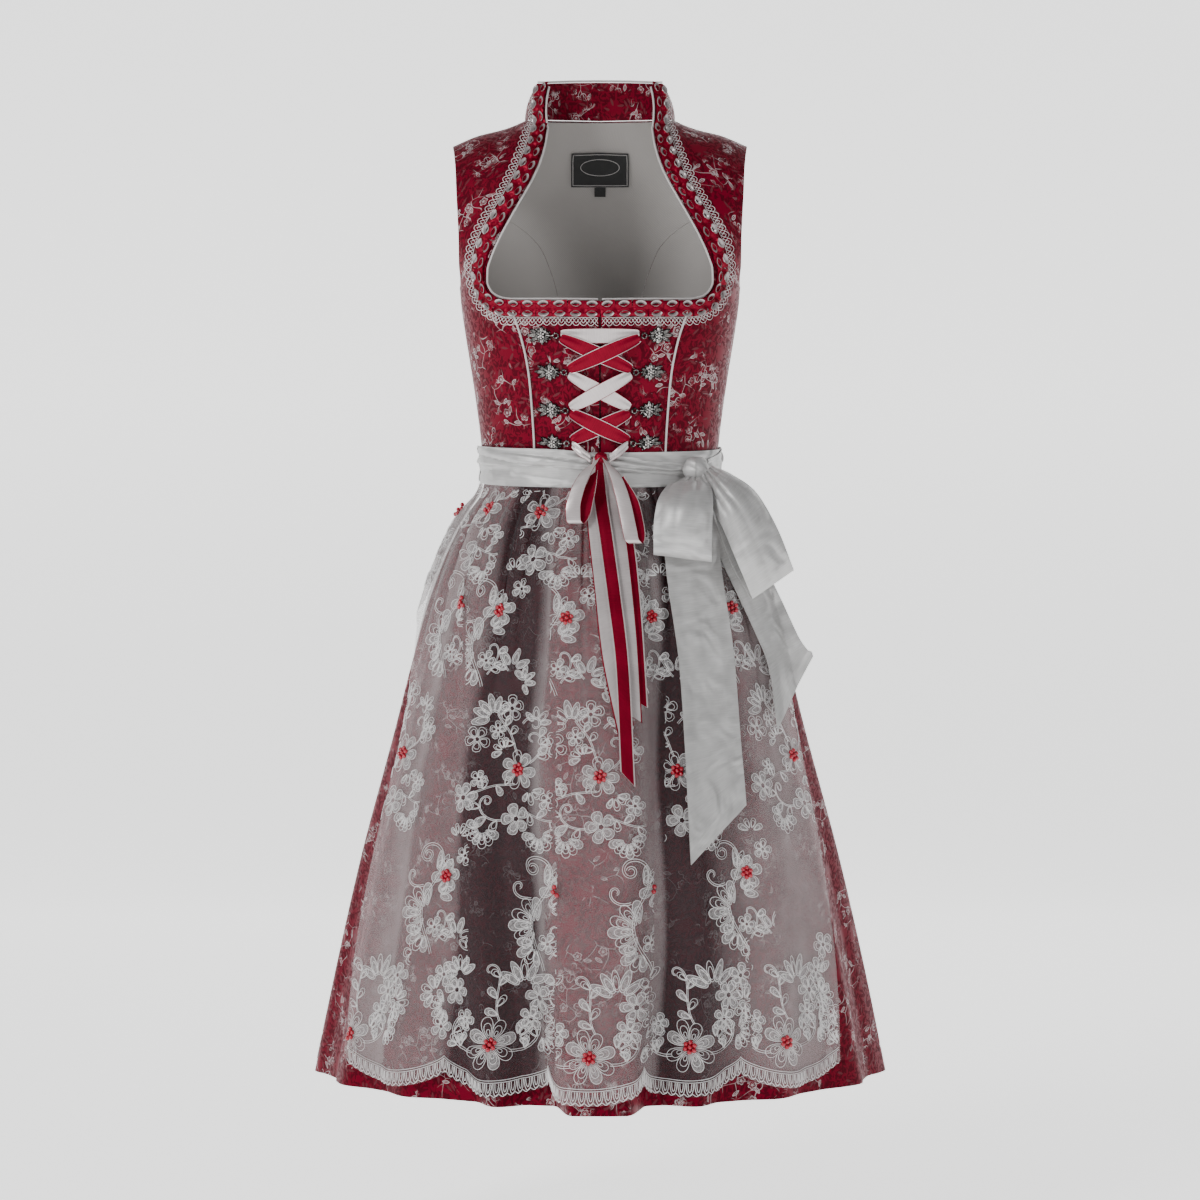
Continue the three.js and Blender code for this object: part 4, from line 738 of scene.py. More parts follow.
left_loop = [
    (95, -90.2, -369.2, 8, 0, 0), (90, -118, -380, 22, -1, 6), (85, -137, -400, 28, -2, 7),
    (82.5, -147, -428, 29, -3, 4), (82.5, -150, -446, 29, -3.6, 1), (82.5, -146, -452, 29, -3.6, 0),
    (82.5, -142, -446, 28.6, -3.6, 0), (84, -134, -422, 26, -2, 0), (89, -117, -394, 18, -1, 0),
    (95, -103, -378.5, 9, 0, 0),
]
right_loop = [
    (108.6, -89.8, -362.5, 4.5, 5, 0), (122, -110, -380, 11, 13, 6), (140, -125, -403, 17.5, 17, 7),
    (159, -129, -441, 21, 16, 5), (171, -124, -470, 21.5, 14.5, 2), (174.5, -118, -478, 21.5, 14.5, 0),
    (170, -112, -472, 21.5, 14.5, 0), (154, -109, -446, 20, 15, -2), (135, -103, -409, 15, 14, -2),
    (121, -90, -388, 6, 8, 0),
]
for name, places, seed, lean in (
    ("apron_bow_loop_front", left_loop, 3, 0.0), ("apron_bow_loop_side", right_loop, 8, 0.45),
):
    cells = strip(places, 121, 25, 3.2, seed, lean)
    cloth(name, cells, 1.2, [duchesse], "satin", [name], "folded", ["apron_bow_knot"], out=0.6)


def hanging_y(x, z, out):
    size = curve(skirt_form, z)
    share = np.clip(np.abs(x) / (size[..., 0] + 14), 0, 0.94)
    full = mix(54, 18, ease((np.abs(x) - 45) / 60)) * fall(z) ** 0.85 + 8 * ease((-385 - z) / 40)
    return -size[..., 1] * (1 - share ** size[..., 3]) ** (1 / size[..., 3]) - full - out


def hanging(places, half, out, slant, narrow, count, across, folds=0.0, seed=1):
    """An end that hangs before the apron, with its foot cut at a slant"""
    t = np.linspace(0, 1, count)
    rows = [(i, *p) for i, p in enumerate(places)]
    last = len(places) - 1
    middle = curve(rows, t * last)[:, None]
    way = curve(rows, np.minimum(t + 0.02, 1) * last) - curve(rows, np.maximum(t - 0.02, 0) * last)
    way = unit(way)[:, None]
    t, v = t[:, None], np.linspace(-1, 1, across)[None, :]
    wide = half * mix(narrow, 1, ease(t * 4))
    x = middle[..., 0] - v * wide * way[..., 1]
    z = middle[..., 1] + v * wide * way[..., 0] - v * slant * ease(2.5 * t - 1.5)
    fold = folds * (np.exp(-3.5 * t) * np.cos(8 * v + seed) + 0.8 * crumple(t * 8, v * 3, seed))
    point = vec(x, hanging_y(x, z, mix(out[0], out[1], t)) - fold, z)[:, ::-1]
    return point, normals(point)


long_end = [(97, -372.6), (93, -440), (107, -558), (113, -655), (117, -725)]
short_end = [(106, -371.6), (143, -450), (174, -515), (193, -560), (199, -588)]
for name, places, half, out, slant, narrow, seed in [
    ("apron_end_long", long_end, 28, (11, 5), -26, 0.3, 2), ("apron_end_short", short_end, 20, (5.5, 4), -32, 0.4, 5),
]:
    cells = hanging(places, half, out, slant, narrow, 121, 25, 3.4, seed)
    cloth(name, cells, 1.2, [duchesse], "satin", [name], "hung", ["apron_bow_knot"], out=0.5)


def knot(name, place, size, material, twist):
    """A tight knot: a rounded lump whose cloth runs round it in creases"""
    turn, rise = np.meshgrid(np.linspace(0, 2 * math.pi, 65)[:-1], np.linspace(-1, 1, 33)[1:-1])
    wide = np.sqrt(1 - rise**2) ** 0.8
    crease = 1 + 0.05 * np.sin(3 * turn + twist * rise * 3)
    crease = crease + 0.11 * np.abs(np.sin(twist * 3.6 * rise + 1.4 * np.sin(turn))) ** 0.6
    x, y, z = wide * np.sin(turn) * crease, -wide * np.cos(turn) * crease, rise * (1 + 0.04 * np.sin(4 * turn))
    points = vec(x * size[0], y * size[1], z * size[2]).reshape(-1, 3)
    points = np.concatenate([points, [(0, 0, -size[2]), (0, 0, size[2])]]) + place
    grid = np.arange(64 * 31).reshape(31, 64)
    near = np.roll(grid, -1, 1)
    faces = [q for i in range(30) for q in zip(grid[i], near[i], near[i + 1], grid[i + 1])]
    low, high = 64 * 31, 64 * 31 + 1
    faces += [(b, a, low) for a, b in zip(grid[0], near[0])] + [(a, b, high) for a, b in zip(grid[-1], near[-1])]
    faces = [tuple(map(int, f)) for f in faces]
    uv = np.stack([np.append(turn * 9, [0, 0]), np.append(rise * 12, [0, 0])], -1)
    piece(name, mesh_of(name, points, faces, [material], uv, sharp=180), [name])


knot("apron_bow_knot", (98.2, -83.6, -361), (12, 9.5, 13.5), duchesse, 1.0)


# The lacing: one ribbon of two satins back to back, red on one side and silver-grey on the other. It crosses
# three times between the hooks' rings and is tied in a small bow at the waist.
red_satin = satin_cloth("red ribbon satin", "#6c031b", "#880826", 0.42, 0.12, "#ff86a0")
silver_satin = satin_cloth("silver ribbon satin", "#c3b9b9", "#d8d0cf", 0.3, 0.15)
hook_rows = [(43.5, -226.5), (35.5, -263), (34.3, -301), (33, -334.5)]


def ribbon(name, cells, red):
    """Both satins of one stretch: the one behind shows as a narrow edge beside the one in front"""
    front, back, slot = (red_satin, silver_satin, "ribbon_red") if red else (silver_satin, red_satin, "ribbon_silver")
    mesh = wall(name, cells, 0.9, [front, back], out=0.45, rim=1)
    rows, columns = cells[0].shape[:2]
    slots = np.empty(len(mesh.polygons), np.int32)
    mesh.polygons.foreach_get("material_index", slots)
    face = np.arange((rows - 1) * (columns - 1)).reshape(rows - 1, columns - 1)
    slots[face[:, [0, -1]]] = 1
    slots[face[:, [0, -1]] + face.size] = 0
    mesh.polygons.foreach_set("material_index", slots)
    made = piece(name, mesh, [name])


def edged(across):
    """Columns over a ribbon, from -1 to 1, with a narrow one along each edge"""
    return np.concatenate([[-1], np.linspace(-0.93, 0.93, across), [1]])


def crossing(start_at, end_at, middle, start=3.2, drop=0.0):
    def end(at, other):
        (row, side), other_row = at, other[0]
        below = 1 if row == other_row else (-2.5 if row < other_row else 2.5)
        return np.array([side * (hook_rows[row][0] - 4.4), 0, hook_rows[row][1] + below])

    a, b = end(start_at, end_at), end(end_at, start_at)
    aside = unit(np.array([-(b[2] - a[2]), 0, b[0] - a[0]]))
    t = np.linspace(0, 1, 49)
    spread = np.abs(np.sin(math.pi * t)) ** 0.6
    flat = a + (b - a) * t[:, None]
    flat[:, 2] -= drop * spread
    point, normal = front_cell(flat[:, 0], flat[:, 2])
    out = mix(start, middle, np.abs(np.sin(math.pi * t)) ** 0.8)
    half = aside * (mix(8, 15.5, spread**0.7) / 2)[:, None]
    half = half - normal * (half * normal).sum(1)[:, None]
    v = edged(11)[None, :, None]
    pinch = 0.8 * (1 - spread)[:, None] * np.cos(5 * edged(11))[None, :]
    points = (point + normal * out[:, None])[:, None] + half[:, None] * v + normal[:, None] * pinch[..., None]
    return points, normals(points)


for name, start_at, end_at, middle, start, drop, red in [
    ("lacing_bar_top", (0, -1), (0, 1), 2.6, 2.4, 2, False),
    ("lacing_cross_1_under", (0, -1), (1, 1), 4.8, 4.2, 0, True),
    ("lacing_cross_1_over", (0, 1), (1, -1), 7.4, 4.2, 0, True),
    ("lacing_cross_2_under", (1, -1), (2, 1), 4.2, 3.2, 0, False),
    ("lacing_cross_2_over", (1, 1), (2, -1), 6, 3.2, 0, False),
    ("lacing_cross_3_under", (2, 1), (3, -1), 4.2, 3.2, 0, True),
    ("lacing_cross_3_over", (2, -1), (3, 1), 6, 3.2, 0, True),
]:
    cells = crossing(start_at, end_at, middle, start, drop)
    if (normals(cells[0])[24, 6] * (0, -1, 0)).sum() < 0:
        cells = (cells[0][:, ::-1], normals(cells[0][:, ::-1]))
    ribbon(name, cells, red)

for hand, side in (("left", 1), ("right", -1)):
    t = np.linspace(0, 1, 31)
    x, z = side * mix(28, 9.5, t), mix(-335.5, -350, t)
    point, normal = front_cell(x, z)
    high = mix(2.6, 5.5, np.sin(math.pi * np.clip(t + 0.1, 0, 0.8)))
    middle = point + normal * mix(4.6, 9.2, ease(t * 1.6))[:, None]
    v = edged(9)[None, :]
    points = middle[:, None] + vec(0, 0.5 * np.cos(6 * v) + 0 * t[:, None], high[:, None] * v)
    points = points[:, ::-1] if side > 0 else points
    if normals(points)[15, 5, 1] > 0:
        points = points[:, ::-1]
    ribbon(f"lacing_run_{hand}", (points, normals(points)), False)

loop_right = [
    (-3, -117.9, -353, 3.5, 3, 0), (-13, -125, -364, 7, 3, 1), (-22, -132, -382, 7.5, 2, 1),
    (-27, -138, -402, 7.5, 0.6, 1), (-26.5, -140, -414, 7.5, 0, 0), (-23, -138, -417, 7.5, 0, 0),
    (-18, -134, -411, 7.5, 0.6, 0), (-12, -127, -389, 7, 2, 0), (-6, -118, -366, 4, 3, 0),
]
loop_left = [
    (5, -117.9, -353, 3.5, -3, 0), (15, -126, -368, 7, -3, 1), (23, -134, -392, 7.5, -2, 1),
    (29, -142, -420, 7.5, -0.6, 1), (32, -145, -434, 7.5, 0, 0), (36, -143, -437, 7.5, 0, 0),
    (38, -139, -429, 7.5, 0.6, 0), (33, -131, -400, 7, 2, 0), (20, -121, -372, 4, 3, 0),
]
for name, places in (("lacing_loop_right", loop_right), ("lacing_loop_left", loop_left)):
    t = np.linspace(0, 1, 81)
    row = curve([(i, *p) for i, p in enumerate(places)], t * 8)[:, None]
    v = edged(9)[None, :]
    points = (row[..., :3] + vec(row[..., 3] * v, -row[..., 5] * (1 - v * v), row[..., 4] * v))[:, ::-1]
    ribbon(name, (points, normals(points)), False)

for name, out, slant, red, places in [
    ("lacing_end_silver_right", (12.8, 8.5), -7, False,
     [(-3, -350), (-9, -385), (-5, -425), (1, -480), (8, -540), (26, -625)]),
    ("lacing_end_red_right", (14.4, 13), 8, True,
     [(-1, -350), (0, -385), (6, -430), (14, -490), (22, -560), (27, -668)]),
    ("lacing_end_silver_left", (11.2, 6), 5, False,
     [(2, -350), (10, -385), (19, -430), (26, -490), (31, -550), (34, -610)]),
    ("lacing_end_red_left", (9.2, 2), 5, True,
     [(4, -350), (16, -388), (27, -435), (33, -490), (37, -545), (40, -596)]),
]:
    cells = hanging(places, 7.25, out, slant, 0.6, 121, 13, 0.25, len(name))
    ribbon(name, cells, red)
knot("lacing_knot", (1, -112.5, -350), (6, 4.2, 5.5), red_satin, 1.4)


# Piping: a cord covered with silver-grey satin, sewn along the neckline's edge, the collar's top edge and the
# princess seams, where it stands a little proud.
def cord_tree():
    """Sweeps a round cord along the edges of a mesh"""
    tree = bpy.data.node_groups.new("cord along lines", "GeometryNodeTree")
    for name, kind in (("Lines", "Geometry"), ("Radius", "Float"), ("Sides", "Int"), ("Finish", "Material")):
        tree.interface.new_socket(name, in_out="INPUT", socket_type="NodeSocket" + kind)
    tree.interface.new_socket("Cord", in_out="OUTPUT", socket_type="NodeSocketGeometry")
    given = add(tree, "NodeGroupInput").outputs
    line = add(tree, "GeometryNodeMeshToCurve", {0: given["Lines"]})
    ring = add(tree, "GeometryNodeCurvePrimitiveCircle", {"Resolution": given["Sides"], "Radius": given["Radius"]})
    swept = add(tree, "GeometryNodeCurveToMesh", {0: line.outputs[0], 1: ring.outputs[0], "Fill Caps": True})
    smooth = add(tree, "GeometryNodeSetShadeSmooth", {0: swept.outputs[0]})
    real = add(tree, "GeometryNodeRealizeInstances", {0: smooth.outputs[0]})
    painted = add(tree, "GeometryNodeSetMaterial", {0: real.outputs[0], "Material": given["Finish"]})
    add(tree, "NodeGroupOutput", {0: painted.outputs[0]})
    return tree


def grown(name, start, tree, **values):
    """The plain mesh that a node tree makes from a starting mesh"""
    holder = bpy.data.objects.new(name, start)
    bpy.context.scene.collection.objects.link(holder)
    modifier = holder.modifiers.new("grown", "NODES")
    modifier.node_group = tree
    for item in tree.interface.items_tree:
        if item.in_out == "INPUT" and item.name in values:
            modifier[item.identifier] = values[item.name]
    seen = holder.evaluated_get(bpy.context.evaluated_depsgraph_get())
    made = bpy.data.meshes.new_from_object(seen)
    holder.modifiers.remove(modifier)
    bpy.data.objects.remove(holder)
    made.name = name
    return made


def lines(name, paths):
    points = np.concatenate(paths) * 0.001
    edges, first = [], 0
    for path in paths:
        own = np.arange(first, first + len(path))
        edges.append(np.stack([own[:-1], own[1:]], 1))
        first += len(path)
    made = bpy.data.meshes.new(name)
    made.from_pydata(points.tolist(), np.concatenate(edges).tolist(), [])
    return made


corded = cord_tree()


def sewn(name, paths, radius, sides, material):
    return grown(name, lines(name, paths), corded, Radius=radius * 0.001, Sides=sides, Finish=material)


def threaded(name, pattern, strength, depth, bands=None, tones=(), **values):
    """A finish whose fine threads, a noise or bands, stand up to depth metres high and may tint it"""
    made, tree, shader = finish(name, **values)
    place = add(tree, "ShaderNodeTexCoord").outputs["Object"]
    if bands:
        threads = add(tree, "ShaderNodeTexWave", {"Vector": place, **pattern}, bands_direction=bands).outputs[1]
    else:
        threads = add(tree, "ShaderNodeTexNoise", {"Vector": place, **pattern}).outputs[0]
    bump = add(tree, "ShaderNodeBump", {"Strength": strength, "Distance": depth, "Height": threads})
    tree.links.new(bump.outputs[0], shader.inputs["Normal"])
    if tones:
        tinted(tree, shader, threads, *tones)
    return made


piping_satin = threaded("satin bias piping", {"Scale": 500.0, "Detail": 2.0}, 0.25, 0.0003,
                        Base_Color=linear("#c4bfbe"), Roughness=0.4, Sheen_Weight=0.2)


def piping(name, path):
    piece(name, sewn("piping", [path], 1.1, 10, piping_satin), [name])


def border_at(index, across):
    index, across = np.broadcast_arrays(np.asarray(index, float), np.asarray(across, float))
    row = curve(border_rows, index)
    chest = front_cell(mix(row[..., 0], row[..., 2], across), mix(row[..., 1], row[..., 3], across))[0]
    over = collar_point(across * 2.15, np.clip(index - 15, 0, 1))
    return np.where((index > 15)[..., None], over, chest)


marks = np.linspace(0, 16, 321)
walked = np.linalg.norm(np.diff(border_at(marks, 0.35), axis=0), axis=1)
border_marks = np.stack([np.concatenate([[0], np.cumsum(walked)]), marks], 1)
border_long = border_marks[-1, 0]


def border_point(along, across, out=0.0):
    """A point of the border: along it from the middle of the front, and across it from the edge outwards"""
    along = np.asarray(along, float)

    def at(s, w):
        return border_at(curve(border_marks, s)[..., 0], w)

    ahead = at(np.minimum(along + 1, border_long), across) - at(np.maximum(along - 1, 0), across)
    aside = at(along, np.asarray(across) + 0.02) - at(along, np.asarray(across) - 0.02)
    normal = unit(np.cross(aside, ahead))
    return at(along, across) + normal * np.asarray(out)[..., None], unit(ahead), normal


for hand, side in (("left", 1), ("right", -1)):
    s = np.linspace(2, border_long - 1, 240)
    edge, ahead, normal = border_point(s, 0.0)
    away = unit(edge - border_point(s, 0.1)[0])
    neckline = (edge + away * 1.85 - normal * 1.1) * (side, 1, 1)
    piping(f"piping_neckline_{hand}", neckline)
    x, z, _ = curve(side_front, np.linspace(0.4, 5.75, 90)).T
    point, normal = front_cell(x, z)
    piping(f"piping_princess_{hand}", (point + normal * 1.5) * (side, 1, 1))
u = np.linspace(0.3, 15.7, 180)
top_edge = collar_point(np.where(u <= 8, u, 16 - u), 1.0)
inside = unit(vec(-top_edge[:, 0], 15 - top_edge[:, 1], 0))
top_edge = top_edge + inside * 1.1 + (0, 0, 1.4)
piping("piping_collar", top_edge * np.where(u <= 8, 1, -1)[:, None] ** np.array([1, 0, 0]))


# The ruched trim: a red satin ribbon with a silver back, laid in box pleats and caught down in the middle
# between them, so that its two edges open in rows of small mouths that show the silver.
def repeat_tree():
    """Puts a unit on every point of a mesh, turned to the point's own directions"""
    tree = bpy.data.node_groups.new("repeat at places", "GeometryNodeTree")
    for name, kind in (("Places", "Geometry"), ("Unit", "Object"), ("Size", "Float"), ("Finish", "Material")):
        tree.interface.new_socket(name, in_out="INPUT", socket_type="NodeSocket" + kind)
    tree.interface.new_socket("Row", in_out="OUTPUT", socket_type="NodeSocketGeometry")
    given = add(tree, "NodeGroupInput").outputs
    unit_shape = add(tree, "GeometryNodeObjectInfo", {"Object": given["Unit"]}).outputs["Geometry"]
    ahead = add(tree, "GeometryNodeInputNamedAttribute", {"Name": "ahead"}, data_type="FLOAT_VECTOR").outputs[0]
    up = add(tree, "GeometryNodeInputNamedAttribute", {"Name": "up"}, data_type="FLOAT_VECTOR").outputs[0]
    first = add(tree, "FunctionNodeAlignRotationToVector", {"Vector": ahead}, axis="X").outputs[0]
    turned = add(
        tree, "FunctionNodeAlignRotationToVector", {"Rotation": first, "Vector": up}, axis="Z", pivot_axis="X"
    ).outputs[0]
    row = add(tree, "GeometryNodeInstanceOnPoints", {
        "Points": given["Places"], "Instance": unit_shape, "Rotation": turned, "Scale": given["Size"],
    })
    real = add(tree, "GeometryNodeRealizeInstances", {0: row.outputs[0]})
    painted = add(tree, "GeometryNodeSetMaterial", {0: real.outputs[0], "Material": given["Finish"]})
    add(tree, "NodeGroupOutput", {0: painted.outputs[0]})
    return tree


repeated = repeat_tree()


def row_of(name, shape, places, ahead, up, material):
    """A row of one shape at places, each with its own forward and upward direction"""
    start = bpy.data.meshes.new(name)
    start.from_pydata((places * 0.001).tolist(), [], [])
    for key, value in (("ahead", ahead), ("up", up)):
        layer = start.attributes.new(key, "FLOAT_VECTOR", "POINT")
        layer.data.foreach_set("vector", np.broadcast_to(value, places.shape).astype(np.float32).ravel())
    unit_object = bpy.data.objects.new("unit", shape)
    bpy.context.scene.collection.objects.link(unit_object)
    made = grown(name, start, repeated, Unit=unit_object, Size=1.0, Finish=material)
    bpy.data.objects.remove(unit_object)
    return made


def grid_shape(name, *grids):
    """One mesh from several grids of points, each closed round where its first and last columns meet"""
    points, faces, first = [], [], 0
    for grid in grids:
        rows, columns = grid.shape[:2]
        index = first + np.arange(rows * columns).reshape(rows, columns)
        points.append(grid.reshape(-1, 3))
        faces.append(quads(index))
        first += rows * columns
    return mesh_of(name, np.concatenate(points), np.concatenate(faces), [], sharp=70)


def lathe(profile, middle, wide, turns=13, tilt=0.0):
    """Almond rings round a middle: the profile is (share of width, height, share to lean), and tilt leans it"""
    turn = np.linspace(0, 2 * math.pi, turns)
    side = np.sin(turn) * np.abs(np.sin(turn)) ** 0.35
    rows = [(wide[0] * r * np.cos(turn), wide[1] * r * side + tilt * at, 0 * turn + h) for r, h, at in profile]
    grid = np.array(rows).transpose(0, 2, 1)
    return grid + np.asarray(middle, float)


pleats = 24
pitch = border_long / pleats
x, y = np.meshgrid(np.linspace(-pitch / 2, pitch / 2, 12), np.linspace(-8, 8, 13))
near = np.hypot(np.abs(x) - pitch / 2, y)
rays = 0.8 * np.cos(9 * np.arctan2(y, np.abs(x) - pitch / 2)) * np.exp(-near / 5) * (1 - np.exp(-near))
mouth_dip = np.exp(-(((np.abs(y) - 4.3) / 2.4) ** 2) - (x / 3.2) ** 2)
puff = (1 - np.exp(-(near**2) / 16)) * np.cos(np.clip(y / 8.6, -1, 1) * math.pi / 2) ** 0.5
high = 0.5 + 2.9 * puff + rays - 2.0 * mouth_dip
outside = [(1.25, 0.4, -0.3), (1.12, 2.0, 0.3), (1.02, 3.4, 0.9)]
inside = [(1.02, 3.4, 0.9), (1.02, 4.2, 1.1), (0.94, 4.2, 0.9), (0.82, 3.0, 0.2), (0.72, 1.9, -0.4)]
throat = [(0.72, 1.9, -0.4), (0.5, 0.9, -0.8), (0.02, 0.6, -0.9)]
shapes = {"pleat": [vec(x, y, np.maximum(high, 0.3))], "mouths": [], "throats": []}
for at, tilt in ((3.9, 1.0), (-3.9, -1.0)):
    for name, profile in (("pleat", outside), ("mouths", inside), ("throats", throat)):
        shapes[name].append(lathe(profile, (0, at, 0), (5.5, 2.9), tilt=tilt * 1.3))
body_shape, mouth_shape, throat_shape = (grid_shape(name, *grids) for name, grids in shapes.items())
# painted shade deep in the trim's mouths: the throats are silver satin painted near black
shade_painted_satin = satin_cloth("silver satin in shade", "#1d191a", "#363132", 0.5, 0.1)
# painted shade on the mouths' inner walls: a darker copy of the silver ribbon satin
shaded_mouth_satin = satin_cloth("silver satin of the mouths, painted darker", "#8d8586", "#bbb2b2", 0.3, 0.15)
for shape in (body_shape, mouth_shape, throat_shape):
    shape.flip_normals()
for hand, side in (("left", 1), ("right", -1)):
    luck = np.random.default_rng(40 + side)
    s = (np.arange(pleats) + 0.5) * pitch
    place, ahead, normal = border_point(s, 0.345, np.full(pleats, 0.7))
    sway, tip = luck.uniform(-0.16, 0.16, (pleats, 1)), luck.uniform(-0.06, 0.06, (pleats, 1))
    ahead = unit(ahead + np.cross(normal, ahead) * sway + normal * tip)
    placed = [v * (side, 1, 1) for v in (place, ahead, normal)]
    for name, shape, material, slot in [
        ("ruched", body_shape, red_satin, "ribbon_red"), ("mouths", mouth_shape, shaded_mouth_satin, "ribbon_silver"),
        ("throats", throat_shape, shade_painted_satin, "ribbon_silver"),
    ]:
        nodes = [f"trim_ruched_{hand}"] if name == "ruched" else []
        piece(f"trim_{name}_{hand}", row_of(name, shape, *placed, material), nodes)


# Lace edging: a narrow crocheted edging of mercerised cotton under the trim's outer side, with two zigzag
# threads that cross into diamonds and end in picots.
cotton = threaded("mercerised cotton lace", {"Scale": 1100.0, "Detail": 1.0}, 0.5, 0.0004,
                  Base_Color=linear("#ebe7e6"), Roughness=0.6, Sheen_Weight=0.3)
for hand, side in (("left", 1), ("right", -1)):
    s = np.linspace(2, border_long - 18, 560)
    wave = 2 * math.pi * s / 7.4
    zig = 0.5 + (1 / math.pi) * np.arcsin(np.sin(wave))
    heart = 0.9 + 0.2 * np.abs(np.sin(wave / 2 + 0.8)) ** 0.45
    paths = [border_point(s, w, 1.2 + 0.5 * rise)[0] for w, rise in [
        (0.74 + 0 * s, 0 * s), (mix(0.76, 1.0, zig), np.cos(wave)), (mix(1.0, 0.76, zig), -np.cos(wave)),
        (heart, 0 * s + 0.5),
    ]]
    mesh = sewn("lace", [p * (side, 1, 1) for p in paths], 0.32, 3, cotton)
    piece(f"lace_edging_{hand}", mesh, [f"lace_edging_{hand}"])


# The hooks: eight castings of antique silver, each a small flower with leaves round it and a ring at the
# lacing's side. They were cast, blackened and rubbed bright, so their hollows stay dark.
antique, tree, shader = finish("antique silver casting", Metallic=0.9, Roughness=0.3)
relief = add(tree, "ShaderNodeAttribute", attribute_name="relief").outputs["Fac"]
tarnish = add(tree, "ShaderNodeTexNoise", {"Vector": add(tree, "ShaderNodeTexCoord").outputs["Object"], "Scale": 700.0})
worn = add(tree, "ShaderNodeMath", {0: relief, 1: tarnish.outputs[0], 2: 0.0}, operation="ADD")
rubbed = add(tree, "ShaderNodeMapRange", {"Value": worn.outputs[0], "From Min": 0.92, "From Max": 1.4})
tinted(tree, shader, rubbed.outputs[0], "#141312", "#e6e3e0")


ring_away = 15.5


def polar(degrees, away=1.0):
    return away * np.array([math.cos(math.radians(degrees)), math.sin(math.radians(degrees))])


def hook_grids(lowest):
    """Leaves, flower, ring and neck of one hook, in millimetres; the lowest hook's upright leaves are shorter"""
    grids = []

    def dome(middle, size, high, turn=0.0):
        ring = np.linspace(0, 2 * math.pi, 13)
        rise = np.linspace(0, math.pi / 2, 5)[:, None]
        x, y = np.cos(rise) * size[0] * np.cos(ring), np.cos(rise) * size[1] * np.sin(ring)
        c, s = polar(turn)
        grids.append(vec(x * c - y * s, x * s + y * c, np.sin(rise) * high) + middle)

    def blade(degrees, start, end, wide, high):
        t, w = np.linspace(0, 1, 9)[:, None], np.linspace(-1, 1, 7)[None, :]
        half = 1.22 * wide * np.sin(math.pi * np.clip(t * 0.94 + 0.06, 0, 1)) ** 0.7
        x, y = mix(start, end, t) + 0 * w, half * w
        veined = 1 - 0.75 * w**2 - 0.35 * np.exp(-((w / 0.2) ** 2))
        z = 0.2 + high * np.sqrt(np.sin(math.pi * np.clip(t + 0.02, 0, 1))) * veined
        c, s = polar(degrees)
        grids.append(vec(x * c - y * s, x * s + y * c, z))

    for degrees, start, end, wide, high in [
        (0, 3, 15.5, 2.0, 2.8), (27, 3, 13.5, 1.9, 2.4), (-27, 3, 13.5, 1.9, 2.4), (62, 2.5, 7.5, 1.6, 2.0),
        (-62, 2.5, 7.5, 1.6, 2.0), (95, 2.5, 9.2, 2.1, 2.7), (-95, 2.5, 9.2, 2.1, 2.7), (132, 2.5, 8.8, 1.9, 2.3),
        (-132, 2.5, 8.8, 1.9, 2.3), (160, 3, 10.5, 1.7, 2.2), (-160, 3, 10.5, 1.7, 2.2),
    ]:
        if lowest and -110 < degrees < -20:
            blade(degrees, start, min(end, 5.6), wide, high)
        else:
            blade(degrees, start, end, wide, high)
            dome((*polar(degrees, end * 0.93), 0.3), (1.0, 1.0), 1.5)
    for degrees in range(30, 390, 60):
        dome((*polar(degrees, 2.7), 1.4), (1.55, 1.15), 1.6, degrees)
    dome((0, 0, 2.2), (1.4, 1.4), 1.7)
    turn, round_ = np.linspace(0, 2 * math.pi, 21)[:, None], np.linspace(0, 2 * math.pi, 9)[None, :]
    away = 2.6 + 0.8 * np.cos(round_)
    grids.append(vec(away * np.cos(turn) - ring_away, away * np.sin(turn), 0.9 + 0.8 * np.sin(round_)))
    t = np.linspace(-13.2, -2.5, 6)[:, None]
    thick = 0.95 + 0.25 * np.cos(t * 2)
    grids.append(vec(t + 0 * round_, thick * np.cos(round_), 0.9 + thick * np.sin(round_)))
    return grids


for i, (eye_x, z) in enumerate(hook_rows):
    for hand, side in (("left", 1), ("right", -1)):
        point, normal = (v.reshape(3) for v in front_cell(np.array(side * (eye_x + ring_away)), np.array(float(z))))
        up = unit(np.array([0, 0, 1.0]) - normal * normal[2])
        outward = unit(np.array([side, 0, 0.0]) - normal * side * normal[0])
        grids = hook_grids(lowest=i == 3)
        heights = np.concatenate([g[..., 2].ravel() for g in grids])
        placed = [point + normal * 0.7 + g[..., :1] * outward + g[..., 1:2] * up + g[..., 2:] * normal for g in grids]
        name = f"lacing_hook_{i + 1}_{hand}"
        mesh = grid_shape(name, *placed)
        mesh.materials.append(antique)
        mesh.attributes.new("relief", "FLOAT", "POINT").data.foreach_set("value", (heights / 3.4).astype(np.float32))
        piece(name, mesh, [name])


# The label and the tag in the neck: black woven patches sewn in at the back. The label has a silver-grey line
# round its edge and an oval in its middle, and the tag is plain.
woven = threaded("black woven label", {"Scale": 420.0, "Distortion": 0.4}, 0.4, 0.0002, "Z", ("#020202", "#0b0b0b"),
                 Roughness=0.55, Sheen_Weight=0.1)
silver_thread, _, _ = finish("silver-grey woven line", Base_Color=linear("#a9a6a4"), Roughness=0.5, Sheen_Weight=0.2)
for name, half, low, high in (("neck_label", 31.5, -46, -9.5), ("size_tag", 6, -56.6, -46.4)):
    x, z = np.linspace(half, -half, 31), np.linspace(low, high, 19)[:, None]
    points, normal = back_cell(x, z)
    mesh = wall(name, (points, normal), 0.6, [woven], out=-5.2)
    piece(name, mesh, [name])
turn = np.linspace(0, 2 * math.pi, 81)
corner = np.clip(1.6 * np.stack([np.cos(turn), np.sin(turn)], -1), -1, 1)
frames = [corner * (29.6, 16.4), np.stack([np.cos(turn), np.sin(turn)], -1) * (21, 8.5) + (0, 2.6)]
paths = []
